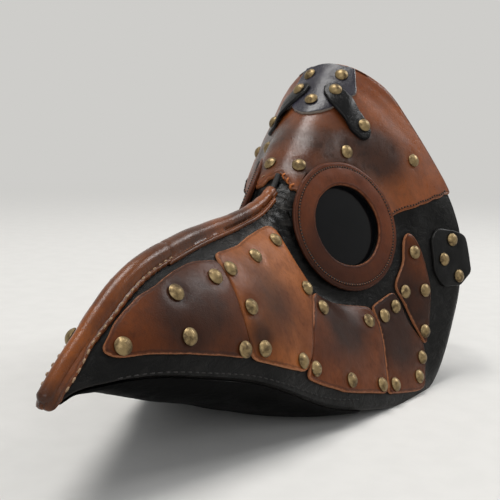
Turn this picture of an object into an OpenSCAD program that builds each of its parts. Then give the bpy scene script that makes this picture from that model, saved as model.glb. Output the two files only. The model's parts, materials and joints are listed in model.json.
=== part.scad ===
// Leather plague doctor mask: long riveted beak, round eye rings, brow panel and head straps.
// The wearer looks along -Y. X is across the face, Z is up from the table the mask rests on.

/* [Mask] */
// Half the width of the mask at the temples
half_width = 91; // [80:1:100]
// Reach of the beak in front of the nose bridge
beak_length = 205; // [170:1:235]
// Depth of the face part behind the nose bridge
face_depth = 114; // [105:1:125]
// Height of the crown above the table
crown_height = 205; // [185:1:225]

/* [Leather] */
// Thickness of the black body leather
body_t = 2.4; // [1.8:0.1:3]
// Thickness of the brown patches, brow and ridge cover
trim_t = 2; // [1.4:0.1:2.6]
// Gap left between two layers of leather
layer_gap = 0.3; // [0.2:0.05:0.5]
// Radius of the padded core along the top of the beak
core_r = 2.7; // [2.2:0.1:3.4]
// How far the belly under the beak hangs below its seam
belly_depth = 18; // [10:1:20]

/* [Eyes] */
// Outside diameter of the eye rings
ring_d = 80; // [70:1:84]
// Diameter of the eye opening
eye_d = 51; // [40:1:54]
// Height of an eye ring at its outer edge
ring_t = 3.2; // [2.6:0.1:4.5]
// How much the ring rises towards the eye opening
ring_rise = 1.4; // [0:0.1:2.5]
// How far a lens reaches under its ring
lens_lap = 4; // [2:0.5:6]

/* [Rivets] */
// Diameter of the domed rivet caps
cap_d = 8.6; // [7:0.1:9.5]
// Height of a cap's dome
cap_h = 2.2; // [1.4:0.1:3]
// Diameter of a rivet's post
post_d = 3; // [2:0.1:3.6]

/* [Straps] */
// Width of the head straps
strap_w = 25; // [18:1:28]
// Thickness of the head straps
strap_t = 2.4; // [1.8:0.1:3]
// How far the back strap stands behind the face part
strap_reach = 45; // [38:1:60]
// Height of the back strap's middle above the table
strap_z = 62; // [50:1:75]
// Wire diameter of the buckle frame and prong
wire_d = 3.2; // [2.6:0.1:4]
// Length of the buckle frame from bar to bar
buckle_l = 20; // [16:1:26]
// Diameter of the strap's adjusting holes
hole_d = 4.6; // [4:0.1:6]
// Spacing of the adjusting holes
hole_pitch = 10; // [8:1:12]

/* [Hidden] */
$fn = 48;

black = [0.13, 0.13, 0.14];
brown = [0.62, 0.33, 0.18];
brass = [0.66, 0.56, 0.34];
glass = [0.10, 0.10, 0.12];
steel = [0.55, 0.55, 0.56];

// ---- The body's surface -------------------------------------------------------------
// One half of the mask is a fan of ribs from the ridge line (x = 0) to the seam and rim.
// Each rib: ridge [y, z], rim [x, y, z], nose width, then the shoulder's share and width.
ribs = [
  [[-205,  55], [ 3, -205,  50],  2, 0.40,  3],
  [[-194,  65], [ 8, -196,  55],  4, 0.45,  7],
  [[-179,  76], [14, -181,  57],  7, 0.50, 12],
  [[-167,  84], [19, -167,  57],  9, 0.50, 17],
  [[-154,  92], [25, -153,  55], 11, 0.50, 22],
  [[-136,  99], [31, -137,  51], 13, 0.50, 28],
  [[-105, 105], [42, -105,  42], 15, 0.50, 38],
  [[ -82, 108], [51,  -84,  33], 16, 0.50, 45],
  [[ -54, 111], [61,  -52,  17], 16, 0.50, 50],
  [[ -26, 116], [70,  -27,   9], 15, 0.50, 51],
  [[  -4, 125], [77,   -2,   4], 16, 0.45, 44],
  [[   8, 137], [82,   24,   0], 19, 0.40, 44],
  [[  18, 147], [86,   50,   0], 21, 0.38, 48],
  [[  30, 159], [88,   66,   3], 22, 0.36, 51],
  [[  42, 170], [90,   80,  17], 23, 0.35, 54],
  [[  52, 179], [91,   94,  38], 23, 0.35, 56],
  [[  60, 186], [91,  106,  60], 23, 0.35, 56],
  [[  66, 192], [88,  114,  90], 22, 0.35, 52],
  [[  71, 196], [76,  114, 121], 21, 0.35, 45],
  [[  75, 200], [60,  106, 150], 19, 0.35, 37],
  [[  78, 202], [44,   97, 177], 17, 0.38, 29],
  [[  81, 205], [32,   91, 192], 14, 0.42, 23]
];
rib_rows = [for (r = ribs) [r[0][0], r[0][1], r[1][0], r[1][1], r[1][2], r[2], r[3], r[4]]];
last_rib = len(ribs) - 1;

// The flat seat of an eye ring: its middle and how x changes along y and z.
eye_at = [34.9, 25, 104.8];
eye_slope = [0.494, -0.423];
seat_inner = 46;
seat_outer = 64;

// The drawn sizes that the Customizer values replace.
drawn = [91, 205, 114, 205];
beak_from = -20;
face_from = 64;

function mix(a, b, f) = a + (b - a) * f;
function clamp01(f) = max(0, min(1, f));
function smooth(f) = let (c = clamp01(f)) c * c * (3 - 2 * c);

function fit_y(y) =
  y < beak_from ? beak_from + (y - beak_from) * (beak_length + beak_from) / (drawn[1] + beak_from)
  : y > face_from ? face_from + (y - face_from) * (face_depth - face_from) / (drawn[2] - face_from)
  : y;
function fit(p) = [p[0] * half_width / drawn[0], fit_y(p[1]), p[2] * crown_height / drawn[3]];
function fit_side(p) = [fit_y(p[0]), p[1] * crown_height / drawn[3]];

function row(i) = rib_rows[max(0, min(last_rib, i))];
function between(a, b, c, d, f) =
  (b * 2 + (c - a) * f + (a * 2 - b * 5 + c * 4 - d) * f * f + (b * 3 - a - c * 3 + d) * f * f * f) / 2;
function rib_at(v) =
  let (i = min(last_rib - 1, floor(v)))
  between(row(i - 1), row(i), row(i + 1), row(i + 2), v - i);

function seat_x(y, z) = eye_at[0] + eye_slope[0] * (y - eye_at[1]) + eye_slope[1] * (z - eye_at[2]);
function seat_share(y, z) =
  smooth((seat_outer - norm([seat_x(y, z), y, z] - eye_at)) / (seat_outer - seat_inner));

// A point of the drawn surface: v counts ribs from the beak's tip, t runs from ridge to rim.
function drawn_point(v, t) =
  let (
    q = rib_at(v), u = 1 - t,
    d = 3 * u * t * t * q[6] + t * t * t,
    x = 3 * u * u * t * q[5] + 3 * u * t * t * q[7] + t * t * t * q[2],
    y = mix(q[0], q[3], d), z = mix(q[1], q[4], d),
    w = seat_share(y, z) * smooth(t / 0.3)
  )
  [mix(x, seat_x(y, z), w), y, z];

// The real surface, mirrored for t < 0, and its outward normal.
function at(v, t) = let (p = fit(drawn_point(v, abs(t)))) [t < 0 ? -p[0] : p[0], p[1], p[2]];
function unit(a) = a / norm(a);
function out_dir(v, t) =
  let (e = 0.004, v0 = max(0, v - e), v1 = min(last_rib, v + e), a = abs(t),
       n = unit(cross(at(v, a + e) - at(v, max(0, a - e)), at(v1, a) - at(v0, a))))
  [t < 0 ? -n[0] : (t == 0 ? 0 : n[0]), n[1], n[2]] * (t == 0 ? 1 / norm([n[1], n[2]]) : 1);
function lift(v, t, off) = let (p = at(v, t) + out_dir(v, t) * off) [p[0], p[1], max(0, p[2])];

// ---- Builders -----------------------------------------------------------------------
t_steps = 12;
grow_z = crown_height / drawn[3];
grow_x = half_width / drawn[0];

// A closed sheet between an outer and an inner grid of points with the same rows and columns.
// The first "turned" columns split their cells the other way, so that both sides mirror.
module shell(outer, inner, turned = 0) {
  m = len(outer[0]);
  k = len(outer) * m;
  last = len(outer) - 2;
  polyhedron(
    points = concat([for (r = outer) each r], [for (r = inner) each r]),
    faces = [
      for (i = [0:last], j = [0:m - 2])
        let (a = i * m + j, b = a + 1, d = a + m, c = d + 1)
        each j < turned ? [[a, d, b], [b, d, c], [k + a, k + b, k + d], [k + b, k + c, k + d]]
          : [[a, d, c], [a, c, b], [k + a, k + c, k + d], [k + a, k + b, k + c]],
      for (i = [0:last])
        let (a = i * m, d = a + m, b = a + m - 1, c = d + m - 1)
        each [[d, a, k + a], [d, k + a, k + d], [b, c, k + c], [b, k + c, k + b]],
      for (j = [0:m - 2])
        let (a = j, b = a + 1, d = k - m + j, c = d + 1)
        each [[a, b, k + b], [a, k + b, k + a], [c, d, k + d], [c, k + d, k + c]]
    ],
    convexity = 8);
}

// A sheet that lies between two heights over the body, on the body's own grid.
module skin(v0, v1, k0, k1, lo, hi) {
  shell(
    [for (v = [v0:0.5:v1]) [for (k = [k0:k1]) lift(v, k / t_steps, hi)]],
    [for (v = [v0:0.5:v1]) [for (k = [k0:k1]) lift(v, k / t_steps, lo)]],
    max(0, -k0));
}

// Everything inside an outline drawn in the side view (y, z), or in the top view (x, y).
module side_cut(outline, r = 3)
  translate([-150, 0, 0]) rotate([90, 0, 90]) linear_extrude(300)
    offset(r, $fn = 24) offset(-r, $fn = 24) polygon([for (p = outline) fit_side(p)]);
module top_cut(outline, r = 3)
  linear_extrude(300)
    offset(r, $fn = 24) offset(-r, $fn = 24) polygon([for (p = outline) [p[0] * grow_x, fit_y(p[1])]]);

module on_surface(v, t) {
  n = out_dir(v, t);
  translate(at(v, t)) rotate([0, acos(n[2]), atan2(n[1], n[0])]) children();
}
module other_side() mirror([1, 0, 0]) children();

// A rivet through a stack of leather that reaches from -below to above along its axis.
cap_base = 0.5;
module rivet(above, below) {
  r = cap_d / 2;
  ball = (r * r + cap_h * cap_h) / (2 * cap_h);
  translate([0, 0, above]) {
    cylinder(r = r, h = cap_base);
    translate([0, 0, cap_base]) intersection() {
      translate([0, 0, cap_h - ball]) sphere(ball);
      cylinder(r = r, h = cap_h);
    }
  }
  translate([0, 0, -below - cap_base]) cylinder(d = post_d, h = above + below + cap_base * 1.5);
  translate([0, 0, -below - cap_base * 2]) cylinder(d = cap_d * 0.8, h = cap_base * 2);
}
one_layer = layer_gap + trim_t;

// ---- Face and beak ------------------------------------------------------------------
eye_middle = fit(eye_at);
eye_normal = unit([1 / grow_x, -eye_slope[0], -eye_slope[1] / grow_z]);
lens_r = eye_d / 2 + lens_lap;
module at_eye()
  translate(eye_middle) rotate([0, acos(eye_normal[2]), atan2(eye_normal[1], eye_normal[0])]) children();

module side_panel() difference() {
  skin(1, last_rib, 0, t_steps, -body_t, 0);
  at_eye() translate([0, 0, -9]) cylinder(r = lens_r + layer_gap, h = 18, $fn = 96);
}

module eye_ring() at_eye() rotate_extrude($fn = 96) polygon([
  [eye_d / 2, layer_gap], [ring_d / 2, layer_gap], [ring_d / 2, layer_gap + ring_t - 0.8],
  [ring_d / 2 - 0.9, layer_gap + ring_t], [eye_d / 2 + 1.2, layer_gap + ring_t + ring_rise],
  [eye_d / 2, layer_gap + ring_t + ring_rise - 0.9]]);
module lens() at_eye() translate([0, 0, -body_t]) cylinder(r = lens_r, h = body_t, $fn = 96);
retainer_t = 1.6;
module lens_retainer() at_eye() translate([0, 0, -body_t - 2 * layer_gap - retainer_t]) difference() {
  cylinder(r = lens_r + 3.5, h = retainer_t, $fn = 96);
  translate([0, 0, -1]) cylinder(d = eye_d + 2, h = retainer_t + 2, $fn = 96);
}

// The belly: a sheet hung between the two lower seams, arched up inside the throat.
sag = [[1, 0.12], [2, 0.3], [3, 0.55], [4, 0.75], [5, 0.88], [6, 1], [7, 0.98],
       [8, 0.72], [9, 0.484], [9.5, 0.27], [10, 0.08], [10.5, -0.3], [11, -0.8]];
function sag_at(v) = lookup(v, sag) * belly_depth;
function belly(v, s, up) =
  let (
    e = at(v, 1), k = sin(90 * s), inside = smooth(2 * (v - 9)), rise = smooth(2 * (v - 9.5)),
    f = pow(max(0, 1 - k * k), sag_at(v) > 0 ? 0.6 : 1)
  )
  [(e[0] - (2 * body_t + 2 * layer_gap) * inside - up * (1 - rise)) * k, e[1],
   max(up / 2, e[2] - 3 * layer_gap - sag_at(v) * f + up * max(f, rise))];
belly_rows = [1.5, 2, 2.5, 3, 3.5, 4, 4.5, 5, 5.5, 6, 6.5, 7, 7.5, 8, 8.5, 9, 9.5, 10, 10.5, 11];
module underside_gusset()
  shell(
    [for (v = belly_rows) [for (j = [7:-1:-7]) belly(v, j / 7, 0)]],
    [for (v = belly_rows) [for (j = [7:-1:-7]) belly(v, j / 7, body_t)]]);

brow_outline = [[4, 230], [4, 138], [1.5, 127], [25, 100], [58, 104], [65, 109], [83, 114],
                [109, 121], [150, 131], [150, 230]];
module brow_panel() difference() {
  intersection() {
    skin(10, last_rib, -t_steps, t_steps, layer_gap, one_layer);
    side_cut(brow_outline, 2);
  }
  for (s = [0, 1]) mirror([s, 0, 0])
    at_eye() translate([0, 0, -12]) cylinder(d = ring_d + 2 * layer_gap, h = 40, $fn = 96);
}

// ---- Ridge roll ---------------------------------------------------------------------
// The core tapers towards the bridge; the covers arch over it and end in a flange.
roll_joint = 5.5;
roll_end = 10.25;
function core_at(v) = core_r * mix(1, 0.55, smooth((v - 5.5) / 4.5));
function t_where(v, x, t = 0.15, n = 6) =
  n == 0 ? max(0.01, min(1, t))
  : let (p = at(v, t)[0], q = at(v, t + 0.01)[0])
    t_where(v, x, max(0.01, min(1, t + (x - p) * 0.01 / max(0.05, q - p))), n - 1);
wrap = [[0, 1], [0.6, 1], [1, 0.72], [1.5, 0.42], [2.2, 0.05]];
function roll_edge(v, flange) =
  max(t_where(v, core_at(v) + one_layer + flange), lookup(v, wrap));
// Half a section over the ridge, from its middle to its edge, at a height above the body.
function roll_half(v, up, flange) =
  let (
    p = at(v, 0), n = out_dir(v, 0), c = layer_gap + core_at(v), r = core_at(v) + up,
    edge = roll_edge(v, flange), foot = min(t_where(v, r + 0.3), edge * 0.8)
  )
  concat(
    [for (a = [0:18:90]) p + n * (c + r * cos(a)) + [r * sin(a), 0, 0]],
    [for (k = [0:3]) lift(v, mix(foot, edge, k / 3), up)]);
function roll_section(v, up, flange) =
  let (h = roll_half(v, up, flange), m = len(h) - 1)
  concat([for (j = [m:-1:1]) [-h[j][0], h[j][1], h[j][2]]], h);
function shrunk(points, s, move) =
  let (c = (points[0] + points[floor(len(points) / 2)]) / 2, m = [0, c[1], c[2]])
  [for (p = points) m + (p - m) * s + [0, move, 0]];
module roll_cover(rows, flange, closed) {
  outer = [for (v = rows) roll_section(v, one_layer, flange)];
  inner = [for (v = rows) roll_section(v, layer_gap, flange)];
  if (closed)
    shell(
      concat([shrunk(outer[0], 0.03, -2.6), shrunk(outer[0], 0.8, -1.8)], outer),
      concat([shrunk(inner[0], 0.03, -0.8), shrunk(inner[0], 0.7, -0.6)], inner));
  else
    shell(outer, inner);
}
module ridge_cover_front()
  roll_cover([0, 0.3, 0.6, 1, 1.5, 2, 2.5, 3, 3.5, 4, 4.5, 5, roll_joint - 0.02], 1.2, true);
module ridge_cover_rear()
  roll_cover([roll_joint + 0.02, 6, 6.5, 7, 7.5, 8, 8.5, 9, 9.5, roll_end], 2, false);

core_sides = 12;
module ridge_core() {
  rows = [0.8, 1, 1.5, 2, 2.5, 3, 3.5, 4, 4.5, 5, 5.5, 6, 6.5, 7, 7.5, 8, 8.5, 9, 9.5, roll_end, 10.5];
  rings = [for (v = rows)
    let (p = at(v, 0), n = out_dir(v, 0), r = core_at(v), c = p + n * (layer_gap + r))
    [for (k = [0:core_sides - 1]) let (a = k * 360 / core_sides) c + n * (r * cos(a)) + [r * sin(a), 0, 0]]];
  last = len(rows) - 1;
  polyhedron(
    points = [for (r = rings) each r],
    faces = [
      for (i = [0:last - 1], k = [0:core_sides - 1])
        let (a = i * core_sides + k, b = i * core_sides + (k + 1) % core_sides, d = a + core_sides, c = b + core_sides)
        each [[a, d, c], [a, c, b]],
      [for (k = [0:core_sides - 1]) k],
      [for (k = [core_sides - 1:-1:0]) last * core_sides + k]
    ]);
}

// ---- Patches ------------------------------------------------------------------------
// Outlines as seen from the side, in (y, z).
beak_outline = [[-179, 71], [-160, 67], [-141, 63], [-122, 59], [-105, 54.5], [-102.7, 58], [-100.6, 74],
                [-98, 89], [-96, 98], [-112, 99.5], [-132, 96], [-154, 89], [-169, 80]];
muzzle_outline = [[-94.5, 101], [-72, 102.5], [-50, 106], [-31, 109], [-28, 104], [-33, 89], [-29.5, 77],
                  [-42, 62], [-54, 47], [-65, 39], [-84, 46], [-101.8, 53], [-101.5, 58], [-99.5, 74], [-97, 89]];
cheek_outline = [[-29, 72], [-15, 67], [-1, 60.5], [17, 57.5], [23, 56], [22, 47], [20, 36], [13, 22], [5, 10],
                 [-32, 20], [-50, 28], [-64.5, 35.5], [-53.2, 44.8], [-41, 59.5]];
jaw_outline = [[24.5, 56.5], [45, 63], [48, 58], [52, 42], [60.5, 28], [58, 18], [49, 4], [42, 3], [7.5, 9.3],
               [14.6, 21.5], [21.5, 36], [23.5, 47]];
temple_outline = [[71, 98], [66, 93], [59, 79], [51, 70], [48, 64.5], [53, 57], [56, 43], [62.5, 30], [71, 43],
                  [77.5, 63], [76, 84], [74.5, 94]];
module patch(v0, v1, k0, k1, outline) intersection() {
  skin(v0, v1, k0, k1, layer_gap, one_layer);
  side_cut(outline);
}
module beak_patch() patch(1.5, 6.5, 1, t_steps, beak_outline);
module muzzle_patch() patch(5, 10, 1, t_steps, muzzle_outline);
module cheek_patch() patch(7, 12, 4, t_steps, cheek_outline);
module jaw_patch() patch(9.5, 14, 7, t_steps, jaw_outline);
module temple_patch() patch(12, 16, 6, t_steps, temple_outline);

face_rivet_places = [
  [2.64, 0.59], [5.03, 0.41], [4.92, 0.73], [5.96, 0.40], [5.94, 0.83],
  [6.55, 0.38], [7.61, 0.34], [8.61, 0.30], [6.55, 0.61], [6.52, 0.82], [7.56, 0.84], [8.70, 0.55],
  [8.97, 0.64], [7.87, 0.86], [9.00, 0.90], [10.2, 0.94], [10.85, 0.78],
  [11.57, 0.79], [12.28, 0.79], [10.76, 0.95], [11.91, 0.96], [12.58, 0.93],
  [14.45, 0.77], [13.18, 0.79], [14.15, 0.85], [13.36, 0.90]];
module face_rivets() for (q = face_rivet_places) on_surface(q[0], q[1]) rivet(one_layer, body_t);

brow_rivet_places = [[11.56, 0.11], [13.87, 0.35], [17.03, 0.69]];
module brow_rivets() for (q = brow_rivet_places, s = [-1, 1]) on_surface(q[0], s * q[1]) rivet(one_layer, body_t);

// ---- Crown --------------------------------------------------------------------------
plate_half = [[2.5, 42.6], [11, 50], [17, 61], [22.3, 72], [20.5, 78], [17, 81.5], [14, 84.4], [12.2, 90.3]];
plate_outline = concat(plate_half, [for (k = [7:-1:0]) [-plate_half[k][0], plate_half[k][1]]]);
module crown_plate() intersection() {
  skin(13, 20.5, -6, 6, layer_gap + one_layer, 2 * one_layer);
  top_cut(plate_outline, 1.5);
}
// A leg lies on the plate at its inner end and steps down to the brow.
leg_outline = [[5.5, 60.5], [9, 64], [17, 66], [26, 66.5], [34, 65.5], [36, 62], [33, 57], [27, 52.5], [16, 52], [7, 55.5]];
function leg_lift(v, t, up) =
  lift(v, t, mix(2, 1, smooth((at(v, t)[0] / grow_x - 19) / 7)) * one_layer + up);
module crown_leg() intersection() {
  shell(
    [for (v = [13:0.5:19]) [for (k = [0:8]) leg_lift(v, k / t_steps, one_layer)]],
    [for (v = [13:0.5:19]) [for (k = [0:8]) leg_lift(v, k / t_steps, layer_gap)]]);
  top_cut(leg_outline, 2.5);
}
module crown_rivets() {
  for (s = [-1, 1]) {
    on_surface(18.4, s * 0.16) rivet(2 * one_layer, under_body + strap_t);
    on_surface(16.15, s * 0.14) rivet(3 * one_layer, body_t);
    on_surface(15.58, s * 0.37) rivet(2 * one_layer, body_t);
  }
  on_surface(15, 0) rivet(2 * one_layer, body_t);
}

// ---- Harness ------------------------------------------------------------------------
tab_outline = [[82, 64.5], [87.5, 59.4], [100.5, 59], [110.5, 63.5], [114.8, 73], [116.4, 92], [109.5, 97.5], [94, 99.5], [87, 92]];
module strap_tab() intersection() {
  skin(14, 19, 8, 14, layer_gap, one_layer);
  side_cut(tab_outline, 3.5);
}
tab_rivet_places = [[16.48, 0.92], [15.67, 0.89], [15.99, 0.97]];
under_body = body_t + 3 * layer_gap;
module tab_rivets() for (q = tab_rivet_places) on_surface(q[0], q[1]) rivet(one_layer, under_body + strap_t);

// The place (v, t) whose side view is (y, z).
function seek(y, z, v = 15.8, t = 0.9, n = 7) =
  n == 0 ? [v, t]
  : let (e = 0.01, p = at(v, t), a = (at(v + e, t) - p) / e, b = (at(v, t + e) - p) / e,
         k = a[1] * b[2] - a[2] * b[1], dy = y - p[1], dz = z - p[2])
    seek(y, z, v + (dy * b[2] - dz * b[1]) / k, t + (a[1] * dz - a[2] * dy) / k, n - 1);

tab_z = 79 * grow_z;
end_half = 17;
half_w = strap_w / 2;
back_y = face_depth + strap_reach;
turn_x = 34;
turn_y = face_depth + 5;
side_x = half_width - 9;
fold_x = -27;
across = [-1, -0.5, 0, 0.5, 1];

// Rows of a strap's flared end, flat against the inside of the side panel.
function end_rows(up) =
  [for (q = [[84, 12], [86, 15.5], [90, end_half], [96, end_half], [102, end_half], [107, 16.5]])
    [for (k = across)
      let (w = seek(fit_y(q[0]), tab_z + k * q[1])) lift(w[0], w[1], -under_body - (1 - up) * strap_t)]];
// Rows of the free strap: x, y of its middle line, its outward direction, height and half width.
function turn_row(a, z, half, lean, up) =
  let (
    n = unit([(back_y - turn_y) * cos(a), (side_x - turn_x) * sin(a), 0]),
    c = [turn_x + (side_x - turn_x) * cos(a), turn_y + (back_y - turn_y) * sin(a), z],
    s = unit([-n[1] * lean, n[0] * lean, 1])
  )
  [for (k = across) c + s * (k * half) + n * ((up - 0.5) * strap_t)];
function back_row(x, z, half, up) =
  [for (k = across) [x, back_y + (up - 0.5) * strap_t, z + k * half]];

function buckle_rows(up) = concat(
  end_rows(up),
  [for (a = [0:10:90]) turn_row(a, mix(tab_z, strap_z, smooth((a + 20) / 110)), mix(15.5, half_w, smooth(a / 40)), 0, up)],
  [for (x = [turn_x - 10, 0, fold_x + 5.6]) back_row(x, strap_z, half_w, up)]);
bar_r = wire_d / 2;
fold_gap = 0.4;
prong_r = 1.3;
chape_t = 1.8;
chape_l = 13;
chape_y = strap_t / 2 + layer_gap + chape_t;
module buckle_strap() shell(buckle_rows(0), buckle_rows(1));
// The folded piece that holds the buckle's bar and grips the end of the strap.
module buckle_chape() translate([fold_x, back_y, strap_z]) difference() {
  union() {
    cylinder(r = bar_r + fold_gap + chape_t, h = strap_w, center = true);
    translate([0, -chape_y, -half_w]) cube([chape_l, 2 * chape_y, strap_w]);
  }
  cylinder(r = bar_r + fold_gap, h = strap_w + 2, center = true);
  translate([5.2, chape_t - chape_y, -half_w - 1]) cube([chape_l, 2 * (chape_y - chape_t), strap_w + 2]);
  translate([-8, -8, -prong_r - 0.8]) cube([8 + bar_r + 4.4, 16, 2 * prong_r + 1.6]);
}

droop_z = strap_z - strap_w - 11;
function drooped(a) = clamp01((a + 9) / 95);
function hole_rows(up) = concat(
  end_rows(up),
  [for (a = [0:10:90]) let (f = drooped(a))
    turn_row(a, mix(tab_z, droop_z, smooth(f)), mix(15.5, half_w, smooth(a / 40)), 4 * f * (1 - f), up)],
  [for (q = [[20, 1], [-40, 1], [-46, 0.8], [-50, 0.45], [-52, 0.1]]) back_row(q[0], droop_z, half_w * q[1], up)]);
module hole_strap() other_side() difference() {
  shell(hole_rows(0), hole_rows(1));
  for (k = [0:4]) translate([2 - k * hole_pitch, back_y, droop_z]) rotate([90, 0, 0])
    cylinder(d = hole_d, h = strap_t * 3, center = true, $fn = 32);
}

// The top strap: under the crown, over the head, then down and around the back strap.
top_half = 14;
out_y = back_y + strap_t + layer_gap;
in_y = back_y - strap_t - layer_gap;
loop_low = strap_z - half_w - 0.5;
loop_r = strap_t + layer_gap;
crown_exit = at(last_rib, 0) - out_dir(last_rib, 0) * (under_body + strap_t / 2);
over_head = [[crown_exit[1], crown_exit[2]], [crown_exit[1] + 34, crown_exit[2] - 9], [out_y, strap_z + 88], [out_y, strap_z + 34]];
function curve4(p, f) =
  p[0] * pow(1 - f, 3) + p[1] * 3 * f * pow(1 - f, 2) + p[2] * 3 * f * f * (1 - f) + p[3] * pow(f, 3);
top_path = concat(
  [for (f = [0.06:0.08:1]) curve4(over_head, f)],
  [[out_y, strap_z + 26], [out_y, strap_z + 10], [out_y, loop_low]],
  [for (a = [30:30:150]) [back_y + loop_r * cos(a), loop_low - loop_r * sin(a)]],
  [[in_y, loop_low], [in_y, strap_z + half_w + 0.6], [back_y - 0.3, strap_z + half_w + 5], [back_y - 0.3, strap_z + half_w + 15]]);
function path_out(i) =
  let (a = top_path[max(0, i - 1)], b = top_path[min(len(top_path) - 1, i + 1)], d = (b - a) / norm(b - a)) [-d[1], d[0]];
function top_rows(up) = concat(
  [for (v = [17:0.5:last_rib])
    [for (k = across)
      let (h = top_half * (v < 17.3 ? 0.8 : 1), t = k == 0 ? 0 : t_where(v, abs(k) * h, 0.3) * sign(k))
      lift(v, t, -under_body - (1 - up) * strap_t)]],
  [for (i = [0:len(top_path) - 1])
    let (p = top_path[i], n = path_out(i), h = mix(top_half, half_w, clamp01(i / 6)))
    [for (k = across) [k * h, p[0] + n[0] * (up - 0.5) * strap_t, p[1] + n[1] * (up - 0.5) * strap_t]]]);
module top_strap() shell(top_rows(1), top_rows(0));

module strap_rivets() {
  for (s = [-1, 1]) {
    translate([fold_x + chape_l - 5, back_y, strap_z + s * 6]) rotate([-90, 0, 0]) rivet(chape_y, chape_y);
    translate([s * 6, back_y, strap_z + half_w + 10]) rotate([-90, 0, 0])
      rivet(1.5 * strap_t + layer_gap, strap_t / 2 + 0.3);
  }
}

frame_half = half_w + 1.5 + bar_r;
module buckle_frame() translate([fold_x, back_y, strap_z]) {
  for (x = [0, -buckle_l]) translate([x, 0, 0]) {
    cylinder(r = bar_r, h = 2 * frame_half, center = true);
    for (s = [-1, 1]) translate([0, 0, s * frame_half]) sphere(bar_r);
  }
  for (s = [-1, 1]) translate([0, 0, s * frame_half]) rotate([0, -90, 0]) cylinder(r = bar_r, h = buckle_l);
}
prong_y = bar_r + 0.25 + prong_r;
module buckle_prong() translate([fold_x, back_y, strap_z]) {
  difference() {
    cylinder(r = bar_r + 0.25 + 1.3, h = 2 * prong_r, center = true);
    cylinder(r = bar_r + 0.25, h = 4 * prong_r, center = true);
  }
  translate([1, prong_y, 0]) rotate([0, -90, 0]) cylinder(r = prong_r, h = buckle_l + 3.5);
  translate([-buckle_l - 2.5, prong_y, 0]) sphere(prong_r);
}

keeper_x = 27;
keeper_w = 9;
keeper_wall = 1.6;
module strap_keeper() translate([keeper_x, back_y, strap_z]) difference() {
  cube([keeper_w, strap_t + 1 + 2 * keeper_wall, strap_w + 1 + 2 * keeper_wall], center = true);
  cube([keeper_w + 2, strap_t + 1, strap_w + 1], center = true);
}

// ---- Assembly: the origin is the middle of the box around the mask, at the table -------
front_y = -beak_length - 6.8;
rear_y = out_y + strap_t / 2 + cap_base + cap_h;
module placed(c) color(c) translate([0, -(front_y + rear_y) / 2, 0]) children();

placed(black) side_panel();  // side_panel_left
placed(black) other_side() side_panel();  // side_panel_right
placed(black) underside_gusset();
placed(brown) brow_panel();
placed(brown) ridge_cover_front();
placed(brown) ridge_cover_rear();
placed(black) ridge_core();
placed(brown) eye_ring();  // eye_ring_left
placed(brown) other_side() eye_ring();  // eye_ring_right
placed(glass) lens();  // lens_left
placed(glass) other_side() lens();  // lens_right
placed(black) lens_retainer();  // lens_retainer_left
placed(black) other_side() lens_retainer();  // lens_retainer_right
placed(brown) beak_patch();  // beak_patch_left
placed(brown) other_side() beak_patch();  // beak_patch_right
placed(brown) muzzle_patch();  // muzzle_patch_left
placed(brown) other_side() muzzle_patch();  // muzzle_patch_right
placed(brown) cheek_patch();  // cheek_patch_left
placed(brown) other_side() cheek_patch();  // cheek_patch_right
placed(brown) jaw_patch();  // jaw_patch_left
placed(brown) other_side() jaw_patch();  // jaw_patch_right
placed(brown) temple_patch();  // temple_patch_left
placed(brown) other_side() temple_patch();  // temple_patch_right
placed(black) crown_plate();
placed(black) crown_leg();  // crown_leg_left
placed(black) other_side() crown_leg();  // crown_leg_right
placed(black) strap_tab();  // strap_tab_left
placed(black) other_side() strap_tab();  // strap_tab_right
placed(brass) face_rivets();  // face_rivets_left
placed(brass) other_side() face_rivets();  // face_rivets_right
placed(brass) brow_rivets();
placed(brass) crown_rivets();
placed(brass) tab_rivets();  // tab_rivets_left
placed(brass) other_side() tab_rivets();  // tab_rivets_right
placed(black) buckle_strap();
placed(black) buckle_chape();
placed(black) hole_strap();
placed(black) top_strap();
placed(brass) strap_rivets();
placed(steel) buckle_frame();
placed(steel) buckle_prong();
placed(black) strap_keeper();
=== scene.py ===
import json
import math

import bpy
import numpy as np
from mathutils import Matrix, Vector
from mathutils.bvhtree import BVHTree
from mathutils.geometry import delaunay_2d_cdt
from mathutils.kdtree import KDTree

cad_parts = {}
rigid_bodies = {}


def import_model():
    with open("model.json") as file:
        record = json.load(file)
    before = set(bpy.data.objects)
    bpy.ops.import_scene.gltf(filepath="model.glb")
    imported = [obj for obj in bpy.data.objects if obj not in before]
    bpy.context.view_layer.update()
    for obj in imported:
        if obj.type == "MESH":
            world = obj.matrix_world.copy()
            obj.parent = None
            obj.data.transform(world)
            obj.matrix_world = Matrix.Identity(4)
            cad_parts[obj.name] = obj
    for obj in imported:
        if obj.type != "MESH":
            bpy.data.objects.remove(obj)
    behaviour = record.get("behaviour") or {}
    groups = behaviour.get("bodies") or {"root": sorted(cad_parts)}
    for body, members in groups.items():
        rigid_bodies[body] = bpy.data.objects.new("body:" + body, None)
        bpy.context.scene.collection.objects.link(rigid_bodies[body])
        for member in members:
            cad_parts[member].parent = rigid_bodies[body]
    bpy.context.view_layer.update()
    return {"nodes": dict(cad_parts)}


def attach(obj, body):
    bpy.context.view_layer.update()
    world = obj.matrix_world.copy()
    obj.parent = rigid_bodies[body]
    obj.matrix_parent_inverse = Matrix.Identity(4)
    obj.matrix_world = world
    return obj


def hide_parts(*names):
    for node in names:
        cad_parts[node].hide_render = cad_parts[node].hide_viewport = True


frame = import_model()

# ---- Camera, and the points that the photograph gives ----
FRAME_W, FRAME_H = 500, 500
LENS, SENSOR = 62.0, 36.0
AZIMUTH, PITCH, ROLL = math.radians(28), math.radians(9.5), math.radians(1.5)
EYE = Vector((0.2329, -0.4448, 0.1770))

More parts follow.
